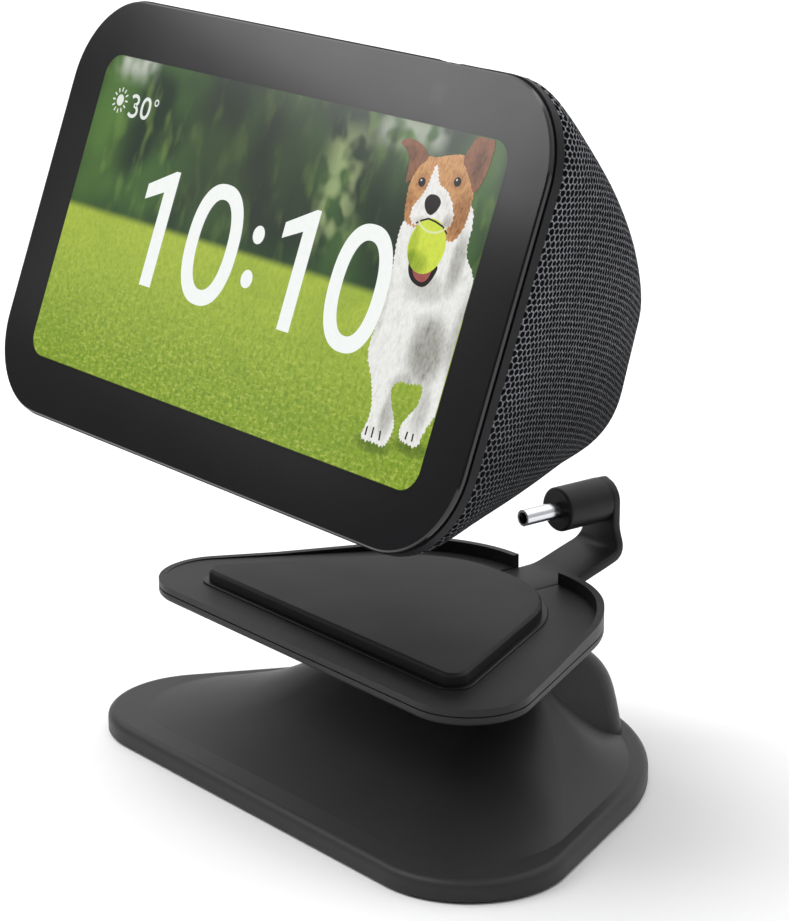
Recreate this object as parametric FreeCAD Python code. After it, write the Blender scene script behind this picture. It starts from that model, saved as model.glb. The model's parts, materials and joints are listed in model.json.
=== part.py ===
"""Smart display hovering over its tilting charging stand, as separate solids.

Millimetres, +Z up, the screen looks towards -Y. The origin is the centre of the stand's footprint on the desk.
The display is modelled lifted off its tray, above the place where it seats.
"""
import FreeCAD
import Part
import math
import os

V = FreeCAD.Vector

# ---- display: face, depth and skin thicknesses
FACE_WIDTH, FACE_HEIGHT, FACE_R = 146.5, 85.1, 17.5
FACE_CENTRE = V(0, -42, 111.7)
FACE_TILT = 20.3
SCREEN_WIDTH, SCREEN_HEIGHT, SCREEN_R = 124.9, 62.45, 4.5
GLASS = 1.1
GASKET = 0.6
FRAME_PROUD = 0.35
FRAME_START, FRAME_DEPTH = 1.25, 3.0
FABRIC = 1.0
HOUSING_WALL = 2.0
UNDERSIDE = 70.2
FOOT = 1.3
CAMERA_X, CAMERA_U = 39.5, 36.8

# Rings of the wedge body, front to rear: half width, lower (y, z), upper (y, z), lower and upper corner radius.
BODY_RINGS = [
    (73.25, (-56.75, 71.8), (-27.25, 151.6), 17.5, 17.5),
    (72.0, (-51.4, 69.9), (-21.9, 149.6), 17.0, 16.0),
    (64.0, (-35.0, 69.6), (-9.7, 138.6), 17.0, 11.0),
    (55.8, (-18.5, 69.6), (2.4, 127.4), 16.5, 8.0),
    (46.8, (-2.0, 69.6), (14.4, 115.6), 16.0, 7.0),
    (36.8, (14.5, 69.8), (25.0, 104.0), 13.0, 7.0),
    (28.6, (23.0, 73.0), (29.6, 98.4), 11.5, 8.0),
    (18.5, (28.9, 78.5), (32.2, 93.8), 7.0, 6.0),
    (7.5, (31.7, 83.5), (33.0, 89.7), 2.8, 2.8),
]

# ---- stand
HINGE_Y, HINGE_Z = 16.0, 24.0
BASE_HEIGHT, BASE_SKIN = 4.6, 1.0
TRAY_TOP, TRAY_SEAM, TRAY_BOTTOM = 33.7, 32.4, 30.4
TRAY_SKIN = 0.9
RIM_WALL, RIM_TOP_FRONT, RIM_TOP_SIDE, RIM_TOP_REAR = 1.5, 34.1, 35.0, 36.3
PAD_TOP, PAD_LIP_TOP = 36.5, 34.1
PLUG_Z, PLUG_TIP_Y, PLUG_FRONT_Y, PLUG_REAR_Y = 47.0, 25.9, 35.1, 46.9
PLUG_R, BARREL_R = 4.7, 1.75
STRAP_WIDTH, STRAP_THICKNESS = 13.6, 2.0
SHAFT_R, KNUCKLE_R, KNUCKLE_HALF = 2.0, 5.6, 11.0

# ---- seating travel of the display: its foot stops just above the tray, and its jack meets the plug
SEAT_CLEARANCE = 0.45
FOOT_GAP = 0.3
SEAT_BACK = 2.0
SEAT_DROP = UNDERSIDE + FABRIC - FOOT - TRAY_TOP - FOOT_GAP
JACK_Z = PLUG_Z + SEAT_DROP

# Tapered outlines: half width on the front edge, front y, rear y, side taper, front and rear corner radius.
BASE_OUTLINE = (75.8, -44.6, 43.1, 26.0, 20.0, 52.5)
TRAY_OUTLINE = (61.8, -34.7, 31.0, 28.6, 12.6, 30.0)
PAD_OUTLINE = (42.4, -26.2, 21.1, 28.0, 3.0, 24.0)
FOOT_OUTLINE = (54.0, -47.0, 13.0, 22.0, 9.0, 6.0)


# ---------------------------------------------------------------- helpers
def save(name, shape):
    """Write one node's solid, or its group of separate solids."""
    shape.exportStep(os.path.join("parts", name + ".step"))


def box(x0, x1, y0, y1, z0, z1):
    return Part.makeBox(x1 - x0, y1 - y0, z1 - z0, V(x0, y0, z0))


def rod(centre, axis, radius, length):
    """A cylinder that starts at centre and runs along axis."""
    return Part.makeCylinder(radius, length, centre, axis)


def tube(centre, axis, outer, inner, length):
    return rod(centre, axis, outer, length).cut(rod(centre, axis, inner, length))


def group(shapes):
    return Part.makeCompound(shapes)


def corner_path(points, radii, closed):
    """Edges through points in the XY plane, each corner rounded by its radius."""
    count = len(points)
    turns = range(count) if closed else range(1, count - 1)
    starts, ends, arcs = {}, {}, {}
    for i in turns:
        before, here, after = points[i - 1], points[i], points[(i + 1) % count]
        a, b = (before - here).normalize(), (after - here).normalize()
        half = a.getAngle(b) / 2
        reach = radii[i] / math.tan(half)
        middle = here + (a + b).normalize() * (radii[i] / math.sin(half) - radii[i])
        starts[i], ends[i] = here + a * reach, here + b * reach
        arcs[i] = Part.Arc(starts[i], middle, ends[i]).toShape()
    edges = []
    for i in range(count if closed else count - 1):
        j = (i + 1) % count
        tail, head = ends.get(i, points[i]), starts.get(j, points[j])
        if (head - tail).Length > 1e-6:
            edges.append(Part.makeLine(tail, head))
        if j in arcs:
            edges.append(arcs[j])
    return edges


def rounded_rectangle(width, height, radius):
    w, h = width / 2, height / 2
    points = [V(-w, -h), V(w, -h), V(w, h), V(-w, h)]
    return Part.Face(Part.Wire(corner_path(points, [radius] * 4, True)))


def grown(outline, by):
    """The tapered outline offset outwards by a distance; corners never get sharper than 0.8 mm."""
    half, front, rear, taper, front_r, rear_r = outline
    angle = math.radians(taper)
    half += by * (1 / math.cos(angle) + math.tan(angle))
    return (half, front - by, rear + by, taper, max(front_r + by, 0.8), max(rear_r + by, 0.8))


def moved_back(outline, by):
    half, front, rear, taper, front_r, rear_r = outline
    return (half, front + by, rear + by, taper, front_r, rear_r)


def outline_wire(outline, z):
    """The tapered, round-cornered outline at a height."""
    half, front, rear, taper, front_r, rear_r = outline
    rear_half = half - (rear - front) * math.tan(math.radians(taper))
    points = [V(-half, front), V(half, front), V(rear_half, rear), V(-rear_half, rear)]
    wire = Part.Wire(corner_path(points, [front_r, front_r, rear_r, rear_r], True))
    wire.translate(V(0, 0, z))
    return wire


def plate(outline, z0, z1):
    """A plate with the tapered, round-cornered outline."""
    return Part.Face(outline_wire(outline, z0)).extrude(V(0, 0, z1 - z0))


def edges_at(shape, z):
    """Edges of a shape that lie wholly at one height."""
    return [e for e in shape.Edges if abs(e.BoundBox.ZMin - z) < 1e-4 and abs(e.BoundBox.ZMax - z) < 1e-4]


FACE_PLACE = FreeCAD.Placement(FACE_CENTRE, FreeCAD.Rotation(V(1, 0, 0), 90 - FACE_TILT))


def on_face(shape):
    """Place a shape drawn in face axes: x across, y up the glass, z out of the glass."""
    shape = shape.copy()
    shape.Placement = FACE_PLACE.multiply(shape.Placement)
    return shape


def face_slab(width, height, radius, near, far):
    """A rounded slab parallel to the glass, from depth near to depth far behind its front."""
    solid = rounded_rectangle(width, height, radius).extrude(V(0, 0, far - near))
    solid.translate(V(0, 0, -far))
    return solid


def behind_face(depth):
    """Everything deeper than depth behind the glass front."""
    return on_face(box(-200, 200, -200, 200, -300, -depth))


# ---------------------------------------------------------------- display body
def ring_wire(ring, inset):
    half, (low_y, low_z), (high_y, high_z), low_r, high_r = ring
    half -= inset
    up = V(0, high_y - low_y, high_z - low_z).normalize()
    low = V(0, low_y, low_z) + up * inset
    height = (V(0, high_y, high_z) - up * inset - low).Length
    low_r, high_r = max(low_r - inset, 0.8), max(high_r - inset, 0.8)
    corners = [V(-half, 0), V(half, 0), V(half, height), V(-half, height)]
    edges = corner_path(corners, [low_r, low_r, high_r, high_r], True)
    wire = Part.Wire(edges)
    frame = FreeCAD.Matrix(1, 0, 0, low.x, 0, up.y, -up.z, low.y, 0, up.z, up.y, low.z, 0, 0, 0, 1)
    wire.Placement = FreeCAD.Placement(frame)
    return wire


def body_loft(inset, floor):
    """The wedge body shrunk by inset, cut flat at the floor height."""
    rings = [ring_wire(ring, inset) for ring in BODY_RINGS[:-1]]
    half, low, high, low_r, high_r = BODY_RINGS[-1]
    last = (half, (low[0] - inset, low[1]), (high[0] - inset, high[1]), low_r, high_r)
    rings.append(ring_wire(last, min(inset, 1.8)))
    solid = Part.makeLoft(rings, True, False)
    return solid.cut(box(-200, 200, -200, 200, floor - 100, floor))


FABRIC_INNER = body_loft(FABRIC, UNDERSIDE + FABRIC)
BODY_OUTER = body_loft(0, UNDERSIDE)
HOUSING_INNER = body_loft(FABRIC + HOUSING_WALL, UNDERSIDE + FABRIC + HOUSING_WALL)

# Recess under the display for the dock pad, in the lifted position.
RECESS_OUTLINE = moved_back(grown(PAD_OUTLINE, 1.9), -SEAT_BACK)
RECESS_TOP = UNDERSIDE + 3.4
PAN_WALL = 1.5

# Axes on the sloping top: origin of the button bar, down the slope, and outwards.
SLOPE_DOWN = V(0, 0.7427, -0.6696)
SLOPE_OUT = V(0, 0.6696, 0.7427)
BUTTON_ORIGIN = V(0, -15.2, 143.6)
SPEAKER_ORIGIN = V(0, 5.5, 124.6)
BUTTON_R, BUTTON_TRAVEL = 2.65, 0.5
BUTTONS = {"volume_down_button": -16.0, "volume_up_button": 0.0, "microphone_off_button": 16.0}


def on_slope(origin, shape):
    """Place a shape drawn with x across, y down the slope and z out of it."""
    matrix = FreeCAD.Matrix(
        1, 0, 0, origin.x,
        0, SLOPE_DOWN.y, SLOPE_OUT.y, origin.y,
        0, SLOPE_DOWN.z, SLOPE_OUT.z, origin.z,
        0, 0, 0, 1,
    )
    shape = shape.copy()
    shape.Placement = FreeCAD.Placement(matrix).multiply(shape.Placement)
    return shape


def pill(length, width, z0, z1):
    solid = rounded_rectangle(length, width, width / 2 - 0.01).extrude(V(0, 0, z1 - z0))
    solid.translate(V(0, 0, z0))
    return solid


BAR_LENGTH, BAR_WIDTH, BAR_DEPTH, BAR_PROUD = 58.0, 8.4, 3.2, 0.5


def button_bar_block():
    return on_slope(BUTTON_ORIGIN, pill(BAR_LENGTH, BAR_WIDTH, -BAR_DEPTH, BAR_PROUD))


def speaker_slots():
    """Sound slots through the housing under the fabric."""
    slots = []
    for k in range(-4, 5):
        reach = math.sqrt(17.5 ** 2 - (k * 4.0) ** 2)
        slots.append(box(-reach, reach, k * 4.0 - 1.2, k * 4.0 + 1.2, -6, 3))
    return on_slope(SPEAKER_ORIGIN, group(slots))


def port_hole(radius):
    """A bore in from the rear at the jack's height."""
    return rod(V(0, 20, JACK_Z), V(0, 1, 0), radius, 20)


PORT_BEZEL_R = 6.2
HOUSING_SCREWS = [V(x, -43, 0) for x in (-40, 40)]


def display_shells():
    recess = plate(RECESS_OUTLINE, UNDERSIDE - 2, RECESS_TOP)
    behind = behind_face(FRAME_DEPTH + 0.1)
    foot_hole = plate(grown(FOOT_OUTLINE, 0.05), UNDERSIDE - 1, UNDERSIDE + FABRIC)
    fabric = BODY_OUTER.cut(FABRIC_INNER).common(behind)
    for tool in (recess, foot_hole, button_bar_block(), port_hole(PORT_BEZEL_R)):
        fabric = fabric.cut(tool)
    save("fabric_cover", fabric)

    pan = plate(grown(RECESS_OUTLINE, PAN_WALL), UNDERSIDE + FABRIC, RECESS_TOP + PAN_WALL)
    housing = FABRIC_INNER.cut(HOUSING_INNER).fuse(pan.common(FABRIC_INNER)).common(behind)
    for tool in (recess, button_bar_block(), port_hole(PORT_BEZEL_R), speaker_slots()):
        housing = housing.cut(tool)
    for at in HOUSING_SCREWS:
        housing = housing.cut(rod(at + V(0, 0, UNDERSIDE), V(0, 0, 1), 1.25, 6))
        housing = housing.cut(rod(at + V(0, 0, UNDERSIDE), V(0, 0, 1), 2.3, FABRIC + 1.35))
    save("rear_housing", housing)

    foot = plate(FOOT_OUTLINE, UNDERSIDE + FABRIC - FOOT, UNDERSIDE + FABRIC)
    save("bottom_foot", foot.cut(recess).cut(box(-60, 60, 12.0, 30, 60, 80)))

    screws = []
    for at in HOUSING_SCREWS:
        head = rod(at + V(0, 0, UNDERSIDE + FABRIC + 0.05), V(0, 0, 1), 2.1, 1.25)
        screws.append(head.fuse(rod(at + V(0, 0, UNDERSIDE + FABRIC + 1.2), V(0, 0, 1), 1.1, 5.6)))
    save("housing_screws", group(screws))


# ---------------------------------------------------------------- glass, panel and frame
LCD_WIDTH, LCD_HEIGHT, LCD_DEPTH = 128.5, 66.0, 2.2
LENS_R = 2.0
BLADE_TRAVEL = 5.6
BLADE_X = (42.3, 48.3)
KNOB_X = (41.8, 48.8)
KNOB_FLOOR, KNOB_TOP = 41.95, 42.9


def front_stack():
    glass = on_face(face_slab(FACE_WIDTH, FACE_HEIGHT, FACE_R, 0, GLASS))
    front_edges = [e for e in glass.Edges if abs(FACE_PLACE.inverse().multVec(e.CenterOfMass).z) < 1e-3]
    save("front_glass", glass.makeChamfer(0.3, front_edges))

    seat = GLASS + GASKET
    gasket = face_slab(FACE_WIDTH - 1.0, FACE_HEIGHT - 1.0, FACE_R - 0.5, GLASS, seat)
    gasket = gasket.cut(face_slab(SCREEN_WIDTH, SCREEN_HEIGHT, SCREEN_R, 0, seat + 1))
    gasket = gasket.cut(rod(V(CAMERA_X, CAMERA_U, -5), V(0, 0, 1), LENS_R + 0.3, 6))
    save("panel_gasket", on_face(gasket))

    back = seat + LCD_DEPTH
    save("lcd_panel", on_face(face_slab(LCD_WIDTH, LCD_HEIGHT, 1.0, seat, back)))
    tray = face_slab(LCD_WIDTH + 1.6, LCD_HEIGHT + 1.6, 1.6, seat + 0.1, back + 0.8)
    tray = tray.cut(face_slab(LCD_WIDTH + 0.2, LCD_HEIGHT + 0.2, 1.1, 0, back))
    save("panel_backplate", on_face(tray))

    save("front_frame", front_frame(seat))


def front_frame(seat):
    """The picture-frame moulding that holds the glass and takes the housing screws."""
    width, height = FACE_WIDTH + 2 * FRAME_PROUD, FACE_HEIGHT + 2 * FRAME_PROUD
    frame = face_slab(width, height, FACE_R + FRAME_PROUD, FRAME_START, FRAME_DEPTH)
    frame = frame.cut(face_slab(FACE_WIDTH + 0.1, FACE_HEIGHT + 0.1, FACE_R + 0.05, 0, seat))
    frame = frame.cut(face_slab(LCD_WIDTH + 2.2, LCD_HEIGHT + 2.2, 2, 0, 20))
    blade_window = box(BLADE_X[0] - BLADE_TRAVEL - 1, BLADE_X[1] + 1, 33.9, 40.4, -4, 0)
    tab_slot = box(38.4, 46.6, 40.0, 50, -2.95, -1.75)
    knob_pocket = box(KNOB_X[0] - BLADE_TRAVEL - 0.3, KNOB_X[1] + 0.3, KNOB_FLOOR, 50, -4, -1.25)
    frame = on_face(frame.cut(blade_window).cut(tab_slot).cut(knob_pocket))
    for at in HOUSING_SCREWS:
        lug = box(at.x - 4, at.x + 4, -53.0, -39.5, UNDERSIDE + 3.4, UNDERSIDE + 8.0)
        frame = frame.fuse(lug.common(behind_face(FRAME_DEPTH))).cut(rod(at + V(0, 0, 60), V(0, 0, 1), 1.15, 18.0))
    return frame


def camera_and_shutter():
    centre = V(CAMERA_X, CAMERA_U, 0)
    module = box(CAMERA_X - 4, CAMERA_X + 4, 34.4, 38.9, -5.6, -3.75)
    save("camera_module", on_face(module))
    lens = rod(centre + V(0, 0, -3.75), V(0, 0, 1), LENS_R, 0.55)
    dome = Part.makeSphere(3.2, centre + V(0, 0, -5.9)).common(rod(centre + V(0, 0, -3.2), V(0, 0, 1), 1.6, 3))
    save("camera_lens", on_face(lens.fuse(dome)))
    blade = box(BLADE_X[0], BLADE_X[1], 34.2, 39.9, -2.6, -2.1)
    knob_base = KNOB_FLOOR + 0.1
    blade = blade.fuse(box(44.3, 46.3, 39.9, knob_base, -2.6, -2.1))
    save("shutter_blade", on_face(blade))
    knob = box(KNOB_X[0], KNOB_X[1], knob_base, KNOB_TOP, -2.8, -1.5)
    for k in range(5):
        x = 43.0 + k * 1.1
        knob = knob.cut(box(x, x + 0.5, KNOB_TOP - 0.25, KNOB_TOP + 1, -4.0, -1.0))
    save("shutter_slider", on_face(knob))


# ---------------------------------------------------------------- buttons
def buttons():
    bar = pill(BAR_LENGTH, BAR_WIDTH, -BAR_DEPTH, BAR_PROUD)
    for x in BUTTONS.values():
        bar = bar.cut(rod(V(x, 0, -10), V(0, 0, 1), BUTTON_R + 0.25, 20))
    for x in (-24.5, -8.0, 8.0, 24.5):
        bar = bar.cut(rod(V(x, 0, -10), V(0, 0, 1), 0.45, 20))
    save("button_bar", on_slope(BUTTON_ORIGIN, bar))
    for name, x in BUTTONS.items():
        cap = rod(V(x, 0, -3.5), V(0, 0, 1), BUTTON_R, 4.4)
        cap = cap.makeFillet(0.35, [e for e in cap.Edges if abs(e.BoundBox.ZMin - 0.9) < 1e-4])
        flange = rod(V(x, 0, -4.2), V(0, 0, 1), 3.3, 0.75)
        save(name, on_slope(BUTTON_ORIGIN, cap.fuse(flange)))
    board = box(-29, 29, -4.4, 4.4, -7.2, -6.2)
    for x in BUTTONS.values():
        board = board.fuse(rod(V(x, 0, -6.2), V(0, 0, 1), 1.5, 1.2))
    save("microphone_board", on_slope(BUTTON_ORIGIN, board))


# ---------------------------------------------------------------- speaker
def speaker():
    """Loudspeaker under the sloping top: gasket, basket, cone and magnet on one axis."""
    inner = -(FABRIC + HOUSING_WALL)
    up = V(0, 0, 1)
    rim = inner - 1.3
    gasket = tube(V(0, 0, rim), up, 22.5, 19.5, 4.0)
    save("speaker_gasket", on_slope(SPEAKER_ORIGIN, gasket).common(HOUSING_INNER))
    shell = Part.makeCone(13.0, 21.0, 10.0, V(0, 0, rim - 11.0), up)
    shell = shell.cut(Part.makeCone(12.2, 20.2, 10.0, V(0, 0, rim - 11.0), up))
    shell = shell.fuse(tube(V(0, 0, rim - 1.0), up, 22.5, 20.2, 1.0))
    shell = shell.fuse(tube(V(0, 0, rim - 12.0), up, 13.0, 4.6, 1.0))
    for k in range(6):
        window = box(14.2, 19, -3.2, 3.2, rim - 9.0, rim - 3.5)
        window.rotate(V(0, 0, 0), up, 60 * k)
        shell = shell.cut(window)
    save("speaker_basket", on_slope(SPEAKER_ORIGIN, shell))
    cone = Part.makeCone(5.2, 18.6, 7.0, V(0, 0, rim - 8.5), up)
    cone = cone.cut(Part.makeCone(4.8, 18.2, 7.0, V(0, 0, rim - 8.5), up))
    roll = Part.makeTorus(18.9, 0.7, V(0, 0, rim - 1.4), up)
    cap = rod(V(0, 0, rim - 8.5), up, 5.0, 0.6)
    voice_coil = tube(V(0, 0, rim - 11.5), up, 4.3, 3.9, 3.1)
    save("speaker_cone", on_slope(SPEAKER_ORIGIN, cone.fuse(cap).fuse(voice_coil).fuse(roll)))
    magnet = tube(V(0, 0, rim - 19.0), up, 11.5, 4.6, 7.0)
    pole = rod(V(0, 0, rim - 20.2), up, 11.5, 1.2).fuse(rod(V(0, 0, rim - 19.0), up, 3.6, 7.5))
    save("speaker_magnet", on_slope(SPEAKER_ORIGIN, magnet.fuse(pole)))


# ---------------------------------------------------------------- electronics and power inlet
BOARD_NEAR, BOARD_THICK = 8.0, 1.6
BOARD_HOLES = [(x, u) for x in (-46, 46) for u in (-23, 19)]


def electronics():
    board = box(-50, 50, -27, 23, -BOARD_NEAR - BOARD_THICK, -BOARD_NEAR)
    for x, u in BOARD_HOLES:
        board = board.cut(rod(V(x, u, -20), V(0, 0, 1), 1.3, 20))
    save("main_board", on_face(board))
    rear = -BOARD_NEAR - BOARD_THICK
    chips = [(-24, -4, 14, 14, 1.4), (-4, -4, 12, 12, 1.2), (16, 6, 9, 9, 1.0), (30, -12, 7, 10, 1.3)]
    chips += [(-38, -18 + 7 * k, 4, 3, 0.9) for k in range(5)]
    solids = [box(x - w / 2, x + w / 2, u - h / 2, u + h / 2, rear - t, rear) for x, u, w, h, t in chips]
    save("board_chips", on_face(group(solids)))
    sink = box(-33, 3, -14, 4, rear - 2.6, rear - 1.4)
    for k in range(7):
        x = -32.5 + k * 5.6
        sink = sink.fuse(box(x, x + 1.2, -14, 4, rear - 6.0, rear - 2.6))
    save("heat_sink", on_face(sink))
    posts, screws = [], []
    back = GLASS + GASKET + LCD_DEPTH + 0.8
    for x, u in BOARD_HOLES:
        posts.append(tube(V(x, u, -BOARD_NEAR), V(0, 0, 1), 2.6, 0.95, BOARD_NEAR - back))
        head = rod(V(x, u, rear - 1.2), V(0, 0, 1), 2.2, 1.2)
        screws.append(head.fuse(rod(V(x, u, rear), V(0, 0, 1), 0.9, BOARD_THICK + 2.6)))
    save("board_standoffs", on_face(group(posts)))
    save("board_screws", on_face(group(screws)))
    flex = box(-12, 12, -29.5, -29.3, -BOARD_NEAR - 1.0, -back).fuse(
        box(-12, 12, -29.5, -27.0, -BOARD_NEAR - 1.0, -BOARD_NEAR - 0.8))
    save("panel_flex", on_face(flex))
    save("keeper_plate", plate(grown(PAD_OUTLINE, -4.0), RECESS_TOP + PAN_WALL + 0.1, RECESS_TOP + PAN_WALL + 1.1))


JACK_DEPTH = 9.6


def power_jack():
    """Barrel jack in the rear wall; its mouth faces +Y."""
    bezel = rod(V(0, 28.0, JACK_Z), V(0, 1, 0), PORT_BEZEL_R, 10).common(BODY_OUTER)
    mouth = rod(V(0, 20, JACK_Z), V(0, 1, 0), BARREL_R + 0.35, 20)
    save("port_bezel", bezel.cut(mouth))
    block = box(-5, 5, 16.5, 28.0, JACK_Z - 4.6, JACK_Z + 4.6)
    block = block.common(HOUSING_INNER)
    socket = rod(V(0, 28.0 - JACK_DEPTH, JACK_Z), V(0, 1, 0), BARREL_R + 0.1, JACK_DEPTH + 1)
    save("power_jack", block.cut(socket))
    tabs = [box(x - 0.4, x + 0.4, 14.0, 16.45, JACK_Z - 1.2, JACK_Z + 1.2) for x in (-2.4, 0, 2.4)]
    save("jack_terminals", group(tabs))


# ---------------------------------------------------------------- tray
STRAP_SLOT = STRAP_WIDTH / 2 + 0.3
STRAP_FLOOR = TRAY_TOP - STRAP_THICKNESS - 0.3
STRAP_START_Y, STRAP_RISE_Y, STRAP_RISE = 22.0, 35.0, 17.0
TRAY_SCREWS = [V(x, y, 0) for x, y in ((-33, -22), (33, -22), (-24, 10), (24, 10))]
EAR_X, EAR_THICK, EAR_R = 12.0, 2.0, 5.0


def seated_clearance():
    """The display body where it seats on the tray, grown by the clearance the rim keeps from it."""
    body = body_loft(-SEAT_CLEARANCE, UNDERSIDE - FOOT_GAP - SEAT_CLEARANCE)
    body.translate(V(0, SEAT_BACK, -SEAT_DROP))
    return body


def rim_profile():
    """Side view of the rim's top line, as a solid: nothing at the front corners, rising to the rear."""
    line = [V(0, -34.7, TRAY_TOP), V(0, -4.0, RIM_TOP_FRONT), V(0, 16.0, RIM_TOP_SIDE), V(0, 25.0, RIM_TOP_REAR),
            V(0, 33.0, RIM_TOP_REAR), V(0, 33.0, TRAY_TOP)]
    solid = Part.Face(Part.makePolygon(line + line[:1])).extrude(V(200, 0, 0))
    solid.translate(V(-100, 0, 0))
    return solid


def tray_cover():
    """Underside of the tray; a fine groove shows where it meets the tray plate."""
    groove = 0.3
    cover = plate(TRAY_OUTLINE, TRAY_BOTTOM, TRAY_SEAM - groove)
    cover = cover.makeFillet(1.0, edges_at(cover, TRAY_BOTTOM))
    cover = cover.fuse(plate(grown(TRAY_OUTLINE, -groove), TRAY_SEAM - groove, TRAY_SEAM))
    cover = cover.cut(plate(grown(TRAY_OUTLINE, -1.6), TRAY_BOTTOM + TRAY_SKIN, TRAY_SEAM))
    for side in (-1, 1):
        inner, outer = sorted((side * (EAR_X - 0.3), side * (EAR_X + EAR_THICK + 0.3)))
        cover = cover.cut(box(inner, outer, HINGE_Y - 5.6, HINGE_Y + 5.6, 20, TRAY_SEAM))
    for at in TRAY_SCREWS:
        post = rod(at + V(0, 0, TRAY_BOTTOM + 0.5), V(0, 0, 1), 3.2, TRAY_SEAM - TRAY_BOTTOM - 0.5)
        cover = cover.fuse(post).cut(rod(at + V(0, 0, 20), V(0, 0, 1), 1.3, 20))
        cover = cover.cut(rod(at + V(0, 0, TRAY_BOTTOM - 1), V(0, 0, 1), 2.3, 2.2))
    return cover.cut(box(-STRAP_SLOT, STRAP_SLOT, 21.0, 60, STRAP_FLOOR, 60))


def tray():
    top = plate(TRAY_OUTLINE, TRAY_SEAM, TRAY_TOP)
    rim = plate(TRAY_OUTLINE, TRAY_TOP, RIM_TOP_REAR)
    rim = rim.cut(plate(grown(TRAY_OUTLINE, -RIM_WALL), TRAY_TOP, RIM_TOP_REAR)).common(rim_profile())
    rim = rim.cut(seated_clearance().common(box(-100, 100, -100, 100, TRAY_TOP, 60)))
    tray_plate = top.fuse(rim).cut(box(-STRAP_SLOT, STRAP_SLOT, STRAP_START_Y - 0.4, 60, 20, 60))
    for at in TRAY_SCREWS:
        tray_plate = tray_plate.cut(rod(at + V(0, 0, TRAY_SEAM), V(0, 0, 1), 1.15, 0.9))
    save("tray_plate", tray_plate.removeSplitter())
    save("tray_underside_cover", tray_cover())

    screws = []
    for at in TRAY_SCREWS:
        head = rod(at + V(0, 0, TRAY_BOTTOM + 0.1), V(0, 0, 1), 2.1, 1.1)
        screws.append(head.fuse(rod(at + V(0, 0, TRAY_BOTTOM + 1.2), V(0, 0, 1), 1.05, 1.6)))
    save("tray_screws", group(screws))


PAD_MAGNETS = [V(-18, -12, 0), V(18, -12, 0), V(0, 8, 0)]


def dock_pad():
    pad = plate(PAD_OUTLINE, PAD_LIP_TOP, PAD_TOP)
    pad = pad.makeChamfer(0.5, edges_at(pad, PAD_TOP))
    magnets = []
    for at in PAD_MAGNETS:
        pad = pad.cut(rod(at + V(0, 0, PAD_LIP_TOP), V(0, 0, 1), 5.1, 1.6))
        magnets.append(rod(at + V(0, 0, PAD_LIP_TOP), V(0, 0, 1), 5.0, 1.5))
    save("dock_pad", pad)
    save("pad_magnets", group(magnets))
    lip = plate(grown(PAD_OUTLINE, 1.3), TRAY_TOP, PAD_LIP_TOP)
    save("dock_pad_lip", lip.makeFillet(0.3, edges_at(lip, PAD_LIP_TOP)))


# ---------------------------------------------------------------- strap and plug
def ribbon(points, radii, thickness):
    """Closed outline of a bent strip that follows points in its own plane."""
    def side(offset):
        moved = []
        normals = [(b - a).normalize() for a, b in zip(points, points[1:])]
        normals = [V(-n.y, n.x) for n in normals]
        for i, p in enumerate(points):
            n0, n1 = normals[max(i - 1, 0)], normals[min(i, len(normals) - 1)]
            mean = (n0 + n1).normalize()
            moved.append(p + mean * (offset / mean.dot(n0)))
        bent = [r + (-offset if (i == 0 or turn(i) > 0) else offset) for i, r in enumerate(radii)]
        return moved, bent

    def turn(i):
        if i in (0, len(points) - 1):
            return 1
        a, b = points[i] - points[i - 1], points[i + 1] - points[i]
        return a.x * b.y - a.y * b.x

    left, left_r = side(thickness / 2)
    right, right_r = side(-thickness / 2)
    edges = corner_path(left, left_r, False) + corner_path(right, right_r, False)
    edges += [Part.makeLine(left[0], right[0]), Part.makeLine(left[-1], right[-1])]
    return Part.Face(Part.Wire(Part.__sortEdges__(edges)))


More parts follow.
